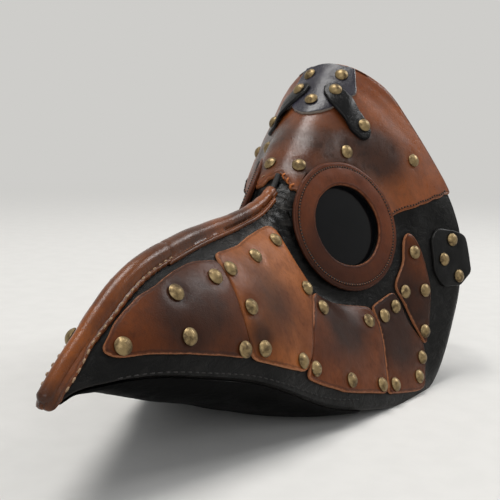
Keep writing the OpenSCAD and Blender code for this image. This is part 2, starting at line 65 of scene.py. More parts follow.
POINTS = {
    "left edge": (36, None), "right edge": (473, None), "top edge": (None, 62), "bottom edge": (None, 413),
    "eye ring centre": (345.6, 225.4), "eye ring left": (293, None), "eye ring right": (398, None),
    "beak patch front rivet": (123, 346), "beak patch rear rivet": (245, 349),
    "muzzle patch top rivet": (276, 240), "cheek patch low rivet": (352, 380),
    "temple patch rivet": (415, 252), "brow rivet": (347.3, 152.2), "crown rivet": (341.2, 77),
    "tab rivet": (453, 241), "nose knot": (288, 181), "thread end front": (262, 178), "thread end rear": (275, 187),
}

ahead = Vector((-math.sin(AZIMUTH) * math.cos(PITCH), math.cos(AZIMUTH) * math.cos(PITCH), -math.sin(PITCH)))
level = Vector((math.cos(AZIMUTH), math.sin(AZIMUTH), 0))
upright = level.cross(ahead)
right = level * math.cos(ROLL) + upright * math.sin(ROLL)
up = upright * math.cos(ROLL) - level * math.sin(ROLL)


def linked(name, data):
    """A new object in the scene."""
    made = bpy.data.objects.new(name, data)
    bpy.context.scene.collection.objects.link(made)
    return made


camera_data = bpy.data.cameras.new("camera")
camera_data.lens, camera_data.sensor_width, camera_data.sensor_fit = LENS, SENSOR, "AUTO"
camera = linked("camera", camera_data)
camera.matrix_world = Matrix.Translation(EYE) @ Matrix((right, up, -ahead)).transposed().to_4x4()
bpy.context.scene.camera = camera


def place(point, tree):
    """Where the ray through an image point meets what carries a piece: (place, normal)."""
    side = max(FRAME_W, FRAME_H)
    x = point[0] - FRAME_W / 2 + camera_data.shift_x * side
    y = FRAME_H / 2 - point[1] + camera_data.shift_y * side
    ray = (right * x + up * y + ahead * (side * LENS / SENSOR)).normalized()
    hit, normal, _, _ = tree.ray_cast(EYE, ray)
    if hit is None:
        near = min((tree.find_nearest(EYE + ray * d * 0.01) for d in range(20, 90)), key=lambda n: n[3])
        hit, normal = near[0], near[1]
    return hit, normal


def pixels(points):
    """Image points of places given in metres."""
    p = np.asarray(points, float).reshape(-1, 3) - np.array(EYE)
    k = max(FRAME_W, FRAME_H) * LENS / SENSOR / (p @ np.array(ahead))
    return np.stack([FRAME_W / 2 + k * (p @ np.array(right)), FRAME_H / 2 - k * (p @ np.array(up))], 1)


# ---- The body's surface, as part.scad draws it; the underside of the tip is a little higher ----
# Each rib: ridge y, z; rim x, y, z; nose width, the shoulder's share and width.
RIBS = np.array([
    [-205, 55, 3, -205, 52, 2, 0.40, 3],
    [-194, 65, 8, -196, 57, 4, 0.45, 7],
    [-179, 76, 14, -181, 57.8, 7, 0.50, 12],
    [-167, 84, 19, -167, 57, 9, 0.50, 17],
    [-154, 92, 25, -153, 55, 11, 0.50, 22],
    [-136, 99, 31, -137, 51, 13, 0.50, 28],
    [-105, 105, 42, -105, 42, 15, 0.50, 38],
    [-82, 108, 51, -84, 33, 16, 0.50, 45],
    [-54, 111, 61, -52, 17, 16, 0.50, 50],
    [-26, 116, 70, -27, 9, 15, 0.50, 51],
    [-4, 125, 77, -2, 4, 16, 0.45, 44],
    [8, 137, 82, 24, 0, 19, 0.40, 44],
    [18, 147, 86, 50, 0, 21, 0.38, 48],
    [30, 159, 88, 66, 3, 22, 0.36, 51],
    [42, 170, 90, 80, 17, 23, 0.35, 54],
    [52, 179, 91, 94, 38, 23, 0.35, 56],
    [60, 186, 91, 106, 60, 23, 0.35, 56],
    [66, 192, 88, 114, 90, 22, 0.35, 52],
    [71, 196, 76, 114, 121, 21, 0.35, 45],
    [75, 200, 60, 106, 150, 19, 0.35, 37],
    [78, 202, 44, 97, 177, 17, 0.38, 29],
    [81, 205, 32, 91, 192, 14, 0.42, 23],
], float)
LAST_RIB = len(RIBS) - 1
SIDES = ((1, "left"), (-1, "right"))
SIDE_VIEW, TOP_VIEW = [1, 2], [0, 1]
EYE_AT = np.array([34.9, 25.0, 104.8])
EYE_SLOPE = (0.494, -0.423)
SEAT_INNER, SEAT_OUTER = 46.0, 64.0
BODY_T, TRIM_T, GAP = 2.4, 2.0, 0.3
LAYER = GAP + TRIM_T
FRONT_Y, BACK_Y = -211.8, 159.0
STRAP_T, STRAP_W = 2.4, 25.0
REAR_Y = BACK_Y + STRAP_T + GAP + STRAP_T / 2 + 2.7
Y_SHIFT = -(FRONT_Y + REAR_Y) / 2
STEP = 0.004


def to_m(p):
    return (np.asarray(p, float) + [0, Y_SHIFT, 0]) * 0.001


def smooth(f):
    c = np.clip(f, 0, 1)
    return c * c * (3 - 2 * c)


def mix(a, b, f):
    return a + (b - a) * f


def bell(x, middle, width):
    return np.exp(-((x - middle) / width) ** 2)


def unit(a):
    return a / np.maximum(np.linalg.norm(a, axis=-1, keepdims=True), 1e-9)


def paired(v, t):
    return np.broadcast_arrays(np.asarray(v, float), np.asarray(t, float))


def run(line):
    """The length along a line of points, from its start to each point."""
    return np.concatenate([[0], np.cumsum(np.linalg.norm(np.diff(line, axis=0), axis=1))])


def around(count):
    """Angles once round, without the last."""
    return np.linspace(0, 2 * np.pi, count + 1)[:-1]


def rib_at(v):
    i = np.clip(np.floor(v), 0, LAST_RIB - 1).astype(int)
    f = (v - i)[..., None]
    a, b, c, d = (RIBS[np.clip(i + k, 0, LAST_RIB)] for k in (-1, 0, 1, 2))
    return (b * 2 + (c - a) * f + (a * 2 - b * 5 + c * 4 - d) * f ** 2 + (b * 3 - a - c * 3 + d) * f ** 3) / 2


def at(v, t):
    """The surface at rib v and share t from the ridge (0) to the rim (1), mirrored below 0."""
    v, t = paired(v, t)
    q, s = rib_at(v), np.abs(t)
    u = 1 - s
    d = 3 * u * s * s * q[..., 6] + s ** 3
    x = 3 * u * u * s * q[..., 5] + 3 * u * s * s * q[..., 7] + s ** 3 * q[..., 2]
    y, z = mix(q[..., 0], q[..., 3], d), mix(q[..., 1], q[..., 4], d)
    seat = EYE_AT[0] + EYE_SLOPE[0] * (y - EYE_AT[1]) + EYE_SLOPE[1] * (z - EYE_AT[2])
    away = np.linalg.norm(np.stack([seat, y, z], -1) - EYE_AT, axis=-1)
    x = mix(x, seat, smooth((SEAT_OUTER - away) / (SEAT_OUTER - SEAT_INNER)) * smooth(s / 0.3))
    return np.stack([np.where(t < 0, -x, x), y, z], -1)


def out_dir(v, t):
    """The way out of the surface."""
    v, t = paired(v, t)
    s = np.abs(t)
    v0, v1 = np.maximum(0, v - STEP), np.minimum(LAST_RIB, v + STEP)
    n = unit(np.cross(at(v, s + STEP) - at(v, np.maximum(0, s - STEP)), at(v1, s) - at(v0, s)))
    n[..., 0] = np.where(t < 0, -n[..., 0], np.where(t == 0, 0, n[..., 0]))
    return unit(n)


def lift(v, t, off):
    """Points at a height above the surface, and never below the table."""
    p = at(v, t) + out_dir(v, t) * np.asarray(off, float)[..., None]
    p[..., 2] = np.maximum(p[..., 2], 0)
    return p


def find_vt(target, axes, v_range, t_range=(0.0, 1.0)):
    """The (v, t) whose surface point has the wanted two coordinates: Newton's method from a coarse table."""
    v_table, t_table = np.meshgrid(np.arange(v_range[0], v_range[1] + 0.01, 0.25),
                                   np.arange(t_range[0], t_range[1] + 0.001, 0.04), indexing="ij")
    known = at(v_table, t_table)[..., axes].reshape(-1, 2)
    target = np.asarray(target, float)
    best = np.concatenate([((part[:, None] - known[None]) ** 2).sum(-1).argmin(1) for part in
                           np.array_split(target, max(1, len(target) // 500))])
    v, t = v_table.ravel()[best], t_table.ravel()[best]
    for _ in range(8):
        p = at(v, t)[..., axes]
        a = (at(v + STEP, t)[..., axes] - p) / STEP
        b = (at(v, t + STEP)[..., axes] - p) / STEP
        k = a[:, 0] * b[:, 1] - a[:, 1] * b[:, 0]
        k = np.where(np.abs(k) < 1e-3, 1e-3, k)
        d = target - p
        v = np.clip(v + np.clip((d[:, 0] * b[:, 1] - d[:, 1] * b[:, 0]) / k, -0.4, 0.4), *v_range)
        t = np.clip(t + np.clip((a[:, 0] * d[:, 1] - a[:, 1] * d[:, 0]) / k, -0.08, 0.08), *t_range)
    return v, t


# ---- Seeded noise ----
def hashed(i, seed):
    h = (i[..., 0] * 374761393 + i[..., 1] * 668265263 + i[..., 2] * 2246822519 + seed * 3266489917) & 0xFFFFFFFF
    h = ((h ^ (h >> 13)) * 1274126177) & 0xFFFFFFFF
    return ((h ^ (h >> 16)) & 0xFFFF) / 32767.5 - 1


def noise(p, size, seed=0):
    """Smooth noise from -1 to 1 whose lumps are about size across."""
    q = np.asarray(p, float) / size + 100
    i = np.floor(q).astype(np.int64)
    f = smooth(q - i)
    total = 0
    for corner in np.ndindex(2, 2, 2):
        w = np.prod(np.where(np.array(corner) == 1, f, 1 - f), axis=-1)
        total = total + w * hashed(i + np.array(corner), seed)
    return total


def layered(p, size, seed=0):
    return sum(noise(p, size / 2 ** k, seed + k) / 2 ** k for k in range(3)) / 1.6


# ---- Meshes ----
def grid_faces(rows, cols):
    a = (np.arange(rows - 1)[:, None] * cols + np.arange(cols - 1)[None]).ravel()
    return np.stack([a, a + cols, a + cols + 1, a + 1], 1)


def tube_faces(rows, cols, closed=False):
    """Faces between rings of cols points, and from the last ring to the first where closed."""
    index = np.arange(rows * cols).reshape(rows, cols)
    following = np.roll(index, -1, 0)
    faces = np.stack([index, following, np.roll(following, -1, 1), np.roll(index, -1, 1)], -1)
    return (faces if closed else faces[:-1]).reshape(-1, 4)


def boundary(faces, count):
    a, b = faces.ravel(), np.roll(faces, -1, axis=1).ravel()
    keep = ~np.isin(a * count + b, b * count + a)
    return a[keep], b[keep]


def edge_distance(points, a, b):
    """How far each point is from the border that runs from points a to points b."""
    steps = np.linspace(0, 1, 6)[:-1]
    samples = (points[a][:, None] + (points[b] - points[a])[:, None] * steps[None, :, None]).reshape(-1, 3)
    tree = KDTree(len(samples))
    for i, s in enumerate(samples):
        tree.insert(s, i)
    tree.balance()
    return np.array([tree.find(p)[2] for p in points])


def smooth_shaded(mesh, sharp):
    mesh.polygons.foreach_set("use_smooth", [True] * len(mesh.polygons))
    mesh.set_sharp_from_angle(angle=math.radians(sharp))


def build(name, points, faces, material, slot, node=None, side=1, values=None, sharp=35, body="mask"):
    """A piece drawn for the wearer's left, or mirrored; values are what its material reads at each point."""
    if side < 0:
        points, faces = points * [-1, 1, 1], [f[::-1] for f in faces]
    mesh = bpy.data.meshes.new(name)
    mesh.from_pydata(to_m(points).tolist(), [], faces)
    smooth_shaded(mesh, sharp)
    for key, numbers in (values or {}).items():
        mesh.attributes.new(key, "FLOAT", "POINT").data.foreach_set("value", np.asarray(numbers, np.float32))
    mesh.materials.append(material)
    mesh.validate()
    piece = linked(name, mesh)
    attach(piece, body)
    if node:
        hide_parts(node)
    return piece


def thick(name, top, low, faces, material, slot, node, side=1, edge_r=1.1, edge_h=0.35, values=None, **more):
    """A sheet of leather between two layers of points, its cut edges rounded over."""
    top, low = top.reshape(-1, 3), low.reshape(-1, 3)
    count = len(top)
    a, b = boundary(faces, count)
    rim = edge_distance(top, a, b)
    if edge_r:
        f = np.clip(rim / edge_r, 0, 1)
        height = edge_h + (1 - edge_h) * np.sqrt(1 - (1 - f) ** 2)
        top = low + (top - low) * height[:, None]
    faces = faces.tolist() + (faces[:, ::-1] + count).tolist()
    faces += np.stack([b, a, a + count, b + count], 1).tolist()
    both = {"rim": np.concatenate([rim, rim * 0])}
    both.update({key: np.tile(numbers, 2) for key, numbers in (values or {}).items()})
    return build(name, np.concatenate([top, low]), faces, material, slot, node, side, both, **more)


def rounded_outline(corners, radius, step):
    """A closed outline with its corners rounded, in even steps."""
    corners = np.asarray(corners, float)
    f = np.linspace(0, 1, 6)[:, None]
    points = []
    for p, q, r in zip(np.roll(corners, 1, 0), corners, np.roll(corners, -1, 0)):
        start, end = (q + (k - q) * min(radius / np.linalg.norm(k - q), 0.48) for k in (p, r))
        points.append(start * (1 - f) ** 2 + q * 2 * f * (1 - f) + end * f * f)
    closed = np.vstack(points + [points[0][:1]])
    lengths = run(closed)
    wanted = np.linspace(0, lengths[-1], int(lengths[-1] / step) + 1)[:-1]
    return np.stack([np.interp(wanted, lengths, closed[:, k]) for k in (0, 1)], 1)


def sideways(outline):
    """The unit vector across a closed outline at each of its points."""
    along = unit(np.roll(outline, -1, 0) - np.roll(outline, 1, 0))
    return np.stack([-along[:, 1], along[:, 0]], 1)


def distance_2d(points, outline):
    best = np.full(len(points), 1e9)
    for p, q in zip(outline, np.roll(outline, -1, 0) - outline):
        f = np.clip(((points - p) @ q) / max(q @ q, 1e-9), 0, 1)
        best = np.minimum(best, np.linalg.norm(points - p - f[:, None] * q, axis=1))
    return best


def inside_2d(points, outline):
    x, y = points.T
    odd = np.zeros(len(points), bool)
    for (x0, y0), (x1, y1) in zip(outline, np.roll(outline, -1, 0)):
        if y0 != y1:
            odd ^= ((y0 > y) != (y1 > y)) & (x < (x1 - x0) * (y - y0) / (y1 - y0) + x0)
    return odd


def filled(outline, spacing=2.2, insets=(0.3, 0.7, 1.2, 2.0, 3.1)):
    """Points and triangles that fill an outline, closer together beside its edge."""
    area = np.sum(outline[:, 0] * np.roll(outline[:, 1], -1) - np.roll(outline[:, 0], -1) * outline[:, 1])
    inwards = sideways(outline) * np.sign(area)
    points = [outline]
    for k, inset in enumerate(insets):
        some = slice(k % 2, None, 1 + (k > 2))
        ring = outline[some] + inwards[some] * inset
        points.append(ring[(distance_2d(ring, outline) > inset * 0.97) & inside_2d(ring, outline)])
    (x0, y0), (x1, y1) = outline.min(0), outline.max(0)
    xs, ys = np.meshgrid(np.arange(x0, x1, spacing), np.arange(y0, y1, spacing * 0.87), indexing="ij")
    xs = xs + (np.arange(ys.shape[1])[None] % 2) * spacing / 2
    inner = np.stack([xs.ravel(), ys.ravel()], 1)
    points.append(inner[inside_2d(inner, outline) & (distance_2d(inner, outline) > insets[-1] + spacing * 0.6)])
    verts, _, faces, _, _, _ = delaunay_2d_cdt([Vector(p) for p in np.vstack(points).tolist()], [],
                                               [list(range(len(outline)))], 1, 1e-5)
    points, faces = np.array([tuple(p) for p in verts]), np.array(faces, int)
    a, b, c = (points[faces[:, k]] for k in range(3))
    turn = (b[:, 0] - a[:, 0]) * (c[:, 1] - a[:, 1]) - (b[:, 1] - a[:, 1]) * (c[:, 0] - a[:, 0])
    return points, faces[np.abs(turn) > 1e-6]


def outward(faces, points, normals):
    """Turns the faces the way the normals point."""
    points, normals = points.reshape(-1, 3), normals.reshape(-1, 3)
    a, b, c = (points[faces[:, k]] for k in range(3))
    turn = np.einsum("ij,ij->i", np.cross(b - a, c - a), normals[faces[:, 0]])
    return np.where(turn[:, None] < 0, faces[:, ::-1], faces)


# ---- Materials ----
class Shader:
    """A material, and short ways to add its nodes."""

    def __init__(self, name):
        self.material = bpy.data.materials.new(name)
        self.material.use_nodes = True
        self.tree = self.material.node_tree
        self.principled = self.tree.nodes["Principled BSDF"]
        self.coords = self.tree.nodes.new("ShaderNodeTexCoord").outputs["Object"]

    def node(self, kind, inputs=None, **settings):
        node = self.tree.nodes.new("ShaderNode" + kind)
        for key, value in settings.items():
            setattr(node, key, value)
        for key, value in (inputs or {}).items():
            self.put(node.inputs[key], value)
        return node

    def put(self, socket, value):
        if isinstance(value, bpy.types.NodeSocket):
            self.tree.links.new(value, socket)
        else:
            socket.default_value = value

    def stretched(self, scale):
        return self.node("Mapping", {"Vector": self.coords, "Scale": scale}).outputs[0]

    def noise(self, scale, detail=4, rough=0.55, distortion=0.0, stretch=None):
        coords = self.stretched(stretch) if stretch else self.coords
        return self.node("TexNoise", {"Vector": coords, "Scale": scale, "Detail": detail, "Roughness": rough,
                                      "Distortion": distortion}).outputs["Fac"]

    def cells(self, scale, coords=None, feature="DISTANCE_TO_EDGE"):
        return self.node("TexVoronoi", {"Vector": coords or self.coords, "Scale": scale},
                         feature=feature).outputs["Distance"]

    def ramp(self, fac, low, high, start=0.0, end=1.0):
        return self.node("MapRange", {"Value": fac, "From Min": low, "From Max": high, "To Min": start,
                                      "To Max": end}, interpolation_type="SMOOTHSTEP").outputs[0]

    def math(self, operation, a, b, clamp=False):
        return self.node("Math", {0: a, 1: b}, operation=operation, use_clamp=clamp).outputs[0]

    def add(self, a, b):
        return self.math("ADD", a, b)

    def mul(self, a, b, clamp=False):
        return self.math("MULTIPLY", a, b, clamp)

    def blend(self, fac, a, b):
        return self.node("Mix", {"Factor": fac, 6: a, 7: b}, data_type="RGBA").outputs[2]

    def attribute(self, name):
        return self.node("Attribute", attribute_name=name).outputs["Fac"]

    def bump(self, height, strength, distance, below=None):
        node = self.node("Bump", {"Height": height, "Strength": strength, "Distance": distance})
        if below:
            self.put(node.inputs["Normal"], below)
        return node.outputs[0]

    def finish(self, **values):
        for key, value in values.items():
            self.put(self.principled.inputs[key.replace("_", " ")], value)
        return self.material


def rgb(*colour):
    """A colour as it shows on a screen, 0 to 255, as the linear colour that a material takes."""
    return tuple(c / 255 / 12.92 if c <= 10 else ((c / 255 + 0.055) / 1.055) ** 2.4 for c in colour) + (1.0,)


def brown_leather(name, colours, rough=0.4, pale_edge=1.0, gloss=0.11):
    """Antiqued leather: softly shaded, with burnished dark middles and a pressed line inside a pale cut edge; the dark
    colour also carries painted shade where a piece sets it.
    """
    mid, dark, light, edge, burnish_and_shade_colour = (rgb(*c) for c in colours)
    s = Shader(name)
    broad = s.noise(26, 4, 0.55, 0.4)
    blotch = s.noise(120, 5, 0.62, 0.3)
    fibre = s.noise(620, 4, 0.65, stretch=(1.0, 1.0, 0.35))
    fine = s.noise(1300, 3, 0.6)
    colour = s.blend(s.ramp(broad, 0.34, 0.66), mid, light)
    colour = s.blend(s.ramp(blotch, 0.42, 0.75, 0, 0.38), colour, dark)
    colour = s.blend(s.ramp(fibre, 0.45, 0.75, 0, 0.32), colour, dark)
    # Burnished darkness on patches, brow and roll; on the eye ring the same mask paints shade on its lower side and in
    # its seam groove.
    burnish_and_shade = s.mul(s.attribute("burnish_and_shade"), s.ramp(blotch, 0.2, 0.65, 0.95, 0.8))
    colour = s.blend(burnish_and_shade, colour, burnish_and_shade_colour)
    # Pressed line inside the cut edge; the eye ring sets rim on its walls so that this darkening paints shade there.
    rim = s.add(s.attribute("rim"), s.mul(s.attribute("joined"), 3.0))
    ragged = s.add(rim, s.ramp(s.noise(420, 2), 0.3, 0.7, -0.2, 0.2))
    line = s.mul(s.ramp(ragged, 0.9, 1.3), s.ramp(ragged, 2.4, 1.5))
    colour = s.blend(s.mul(line, 0.4), colour, burnish_and_shade_colour)
    colour = s.blend(s.mul(s.ramp(ragged, 0.75, 0.3), 0.8 * pale_edge), colour, edge)
    normal = s.bump(s.ramp(s.cells(420, s.stretched((1, 1, 1.6))), 0.0, 0.12), 0.1, 0.00015)
    normal = s.bump(s.add(s.cells(1900, feature="F1"), s.mul(fine, 1.4)), 0.25, 0.0002, normal)
    normal = s.bump(s.math("SUBTRACT", blotch, s.mul(line, 0.7)), 0.4, 0.0004, normal)
    shine = s.add(s.ramp(blotch, 0.3, 0.7, rough - 0.06, rough + 0.1), s.mul(burnish_and_shade, -0.05))
    shine = s.add(shine, s.ramp(fibre, 0.35, 0.7, -0.03, 0.08))
    return s.finish(Base_Color=colour, Roughness=shine, Normal=normal, Coat_Weight=0.08, Coat_Roughness=0.24,
                    Specular_IOR_Level=gloss)


def black_leather(name, base, wear_and_highlight, rough, wrinkle, gloss, sheen=0.0, edge=None):
    """Black leather: fine grain, soft wrinkles that catch the light, greyer on the folds from wear, and greyer still
    as a painted highlight where a piece sets its nose mask.
    """
    s = Shader(name)
    base, wear_and_highlight = rgb(*base), rgb(*wear_and_highlight)
    broad = s.noise(45, 4, 0.6, 0.8)
    folds = s.noise(150, 5, 0.6, 1.2, stretch=(1.0, 0.45, 1.0))
    fine = s.noise(1100, 3, 0.6)
    # Greyer on the folds: wear everywhere, plus a painted highlight where the nose mask is set.
    rubbed_and_highlit = s.mul(s.ramp(folds, 0.4, 0.7), s.add(s.attribute("wear_and_highlight"), 0.2), clamp=True)
    colour = s.blend(rubbed_and_highlit, base, wear_and_highlight)
    edge_start, edge_share = (0.7, 0.7) if edge else (1.1, 0.55)
    edge_fac = s.ramp(s.attribute("rim"), edge_start, 0.3, 0, edge_share)
    colour = s.blend(edge_fac, colour, rgb(*edge) if edge else wear_and_highlight)
    normal = s.bump(s.ramp(s.cells(700), 0.0, 0.15), 0.22, 0.00018)
    normal = s.bump(fine, 0.3, 0.0002, normal)
    normal = s.bump(folds, wrinkle, 0.0011, normal)
    shine = s.add(s.ramp(broad, 0.3, 0.7, rough - 0.07, rough + 0.1), s.ramp(fine, 0.3, 0.7, -0.04, 0.04))
    shine = s.math("SUBTRACT", shine, s.mul(s.attribute("wear_and_highlight"), 0.12))
    return s.finish(Base_Color=colour, Roughness=shine, Normal=normal, Coat_Weight=0.03, Coat_Roughness=0.35,
                    Specular_IOR_Level=gloss, Sheen_Weight=sheen, Sheen_Roughness=0.4,
                    Sheen_Tint=(0.6, 0.6, 1.0, 1.0))


def metal(name, bright, dull, rough, streaks=None):
    s = Shader(name)
    tarnish = s.noise(240, 4, 0.6, 0.4)
    fine = s.noise(2600, 3, 0.6, stretch=streaks)
    colour = s.blend(s.ramp(tarnish, 0.42, 0.68), rgb(*bright), rgb(*dull))
    colour = s.blend(s.ramp(fine, 0.45, 0.8, 0, 0.5), colour, rgb(*dull))
    normal = s.bump(tarnish, 0.08, 0.0002, s.bump(fine, 0.15, 0.0001))
    return s.finish(Base_Color=colour, Metallic=0.8, Normal=normal,
                    Roughness=s.ramp(tarnish, 0.3, 0.7, rough - 0.05, rough + 0.12))


def thread(name, base, dark):
    s = Shader(name)
    twist = s.noise(3000, 2, 0.5)
    colour = s.blend(s.ramp(twist, 0.35, 0.65), rgb(*base), rgb(*dark))
    return s.finish(Base_Color=colour, Roughness=s.ramp(twist, 0.3, 0.7, 0.65, 0.85),
                    Normal=s.bump(twist, 0.5, 0.0002))


def glass(name):
    s = Shader(name)
    cloud = s.noise(25, 2, 0.5)
    dust = s.noise(900, 4, 0.6)
    colour = s.blend(s.ramp(cloud, 0.3, 0.7), rgb(6, 7, 9), rgb(14, 14, 16))
    return s.finish(Base_Color=colour, Roughness=s.ramp(dust, 0.4, 0.8, 0.12, 0.26),
                    Normal=s.bump(cloud, 0.15, 0.0006), Coat_Weight=0.04, Coat_Roughness=0.08,
                    Specular_IOR_Level=0.14)


# Browns: middle, dark and light tone, cut edge, burnished (on the eye ring also painted shade). Blacks: the leather,
# and the grey of its wear and of the painted highlight at the nose.
patch_leather = brown_leather("patch_leather", [(118, 64, 30), (70, 37, 20), (160, 94, 48), (172, 118, 84),
                                                (33, 22, 18)])
deep_leather = brown_leather("deep_leather", [(88, 43, 18), (50, 25, 13), (120, 62, 27), (158, 104, 72),
                                              (29, 19, 16)])
roll_leather = brown_leather("roll_leather", [(92, 45, 16), (44, 22, 10), (140, 76, 30), (120, 72, 42),
                                              (22, 13, 8)], rough=0.23, pale_edge=0.4, gloss=0.26)
ring_leather = brown_leather("ring_leather", [(84, 41, 22), (52, 26, 15), (104, 54, 29), (144, 94, 66),
                                              (22, 13, 10)], rough=0.42, pale_edge=0.8)
brow_leather = brown_leather("brow_leather", [(112, 58, 29), (68, 36, 21), (148, 82, 41), (150, 94, 60),
                                              (20, 14, 12)], rough=0.32, gloss=0.28)
body_leather = black_leather("body_leather", (7, 7, 7), (50, 48, 46), 0.36, 0.75, 0.12)
# The belly's blacker black is painted shade on the underside of the same black leather.
belly_leather_painted_shade = black_leather("belly_leather_painted_shade", (2, 2, 2), (5, 5, 5), 0.55, 0.4, 0.03)
# The plate's grey base is painted sheen on the crown's near-black leather.
plate_leather_painted_sheen = black_leather("plate_leather_painted_sheen", (38, 36, 44), (70, 67, 76), 0.26, 0.25, 0.3, 0.1, (150, 140, 128))
crown_leather = black_leather("crown_leather", (6, 6, 7), (24, 23, 24), 0.22, 0.25, 0.16)
strap_leather = black_leather("strap_leather", (12, 12, 12), (36, 34, 31), 0.42, 0.35, 0.25)
tab_leather = black_leather("tab_leather", (8, 8, 8), (24, 24, 23), 0.38, 0.3, 0.15)
cord_cloth = thread("cord_cloth", (26, 25, 25), (12, 12, 12))
cream_thread = thread("cream_thread", (178, 150, 116), (104, 72, 50))
tan_thread = thread("tan_thread", (146, 92, 58), (92, 54, 34))
orange_thread = thread("orange_thread", (226, 138, 70), (150, 80, 38))
# Real black thread for the chin seam, and the painted shade of stitch holes.
black_thread_and_hole_shade = thread("black_thread_and_hole_shade", (22, 18, 16), (10, 9, 9))
antique_brass = metal("antique_brass", (142, 122, 86), (80, 65, 44), 0.42)
plated_steel = metal("plated_steel", (170, 164, 152), (104, 98, 88), 0.34, streaks=(0.2, 1, 1))
lens_glass = glass("lens_glass")

# ---- Places on the mask ----
FACE_RIVETS = [
    (2.64, 0.59), (5.03, 0.41), (4.92, 0.73), (5.96, 0.40), (5.94, 0.83), (6.55, 0.38), (7.61, 0.34),
    (8.61, 0.30), (6.55, 0.61), (6.52, 0.82), (7.56, 0.84), (8.70, 0.55), (8.97, 0.64), (7.87, 0.86),
    (9.00, 0.90), (10.2, 0.94), (10.85, 0.78), (11.57, 0.79), (12.28, 0.79), (10.76, 0.95), (11.91, 0.96),
    (12.58, 0.93), (14.45, 0.77), (13.18, 0.79), (14.15, 0.85), (13.36, 0.90),
]
BROW_RIVETS = [(11.56, 0.11), (13.87, 0.35), (17.03, 0.69)]
CROWN_RIVETS = [(18.4, 0.16), (16.15, 0.14), (15.58, 0.37), (15.0, 0.0)]
TAB_RIVETS = [(16.48, 0.92), (15.67, 0.89), (15.99, 0.97)]
rivet_places = [at(*q) for q in FACE_RIVETS + BROW_RIVETS + CROWN_RIVETS + TAB_RIVETS]


def one_side(points):
    """The points, with those of the wearer's right mirrored to the left."""
    return np.column_stack([np.abs(points[:, 0]), points[:, 1:]])


def rivet_pull(points, depth=0.7):
    """How a rivet draws the leather down around it, with a few small puckers."""
    points, total = one_side(points), np.zeros(len(points))
    for k, q in enumerate(rivet_places):
        away = points - q
        d = np.linalg.norm(away, axis=1)
        angle = np.arctan2(away[:, 2], away[:, 1])
        puckers = 1 + 0.35 * np.sin(angle * 5 + k) * smooth((d - 4) / 3)
        total -= (d < 13) * depth * bell(d, 3.4, 3.0) * puckers
    return total


def smudged(points, spots):
    """Burnished darkness, 0 to 1, around spots given as (y, z, size)."""
    total = sum((bell(np.hypot(points[:, 1] - y, points[:, 2] - z) / size, 0, 1.15) for y, z, size in spots),
                np.zeros(len(points)))
    return np.clip(total * (0.9 + 0.2 * layered(points, 18, 5)), 0, 1)


# ---- Body: side panels, belly ----
eye_normal = unit(np.array([1, -EYE_SLOPE[0], -EYE_SLOPE[1]]))
eye_right = unit(np.cross([0, 0, 1.0], eye_normal))
eye_up = np.cross(eye_normal, eye_right)
HOLE_R = 30.2


def eye_place(radius, angle, height, middle=EYE_AT):
    """A point around the eye, in the eye's own plane."""
    radius, angle, height = (k[..., None] for k in np.broadcast_arrays(radius, angle, height))
    return middle + eye_right * (radius * np.cos(angle)) + eye_up * (radius * np.sin(angle)) + eye_normal * height


def eye_radius(points):
    q = points - EYE_AT
    q = q - (q @ eye_normal)[..., None] * eye_normal
    return np.linalg.norm(q, axis=-1)


def nose_share(v, t, start, width, low):
    """1 on both sides of the nose bridge, and 0 away from it."""
    return smooth((v - start) / width) * smooth((12.5 - v) / 1.5) * smooth((low - t) / 0.3)


def body_wrinkles(v, t, p):
    """Soft folds of the black leather: strong at the nose, faint elsewhere."""
    chin = smooth((t - 0.6) / 0.2) * smooth((v - 4) / 2)
    fold = np.sin(p[..., 1] * 0.75 + 3.2 * noise(p, 16, 2) + p[..., 2] * 0.25)
    return (nose_share(v, t, 7.5, 1.5, 0.55) * (0.55 * fold + 0.5 * layered(p, 7, 3))
            + (0.12 + 0.1 * chin) * layered(p, 12, 4))


v, t = np.meshgrid(np.arange(0.4, LAST_RIB + 0.001, 0.1), np.linspace(0, 1, 73), indexing="ij")
surface = at(v, t)
top = lift(v, t, np.minimum(body_wrinkles(v, t, surface), 0.5))
low = lift(v, t, -BODY_T * mix(0.25, 1, smooth(v - 0.4)))
faces = grid_faces(*v.shape)
faces = faces[eye_radius(surface.reshape(-1, 3)[faces].mean(1)) > HOLE_R]
faces = outward(faces, top, out_dir(v, t))
# At the nose the mask greys the folds as a painted highlight and makes the leather glossier.
panels = [thick("panel_" + name, top, low, faces, body_leather, "black_leather", "side_panel_" + name, side,
                edge_r=0.8, values={"wear_and_highlight": nose_share(v, t, 6.5, 2, 0.5).ravel()}) for side, name in SIDES]

BELLY_DEPTH = 18.0
SAG_V = [1, 2, 3, 4, 5, 6, 7, 8, 9, 9.5, 10, 10.5, 11]
SAG = [0.12, 0.3, 0.55, 0.75, 0.88, 1, 0.98, 0.72, 0.484, 0.27, 0.08, -0.3, -0.8]


def belly(v, s, above):
    """The sheet under the beak, hung between the lower edges; towards the throat it goes inside the panels."""
    e, k = at(v, 1), np.sin(np.pi / 2 * s)
    inside, rise = smooth(2 * (v - 9)), smooth(2 * (v - 9.5))
    sag = np.interp(v, SAG_V, SAG) * BELLY_DEPTH
    f = np.where(sag > 0, np.maximum(0, 1 - k * k) ** 0.6, np.maximum(0, 1 - k * k))
    x = (e[..., 0] - (1.7 * BODY_T + 2 * GAP) * inside - above * (1 - rise)) * k
    z = e[..., 2] - 3 * GAP - sag * f + above * np.maximum(f, rise)
    return np.stack([x, e[..., 1], np.maximum(above / 2, z)], -1)


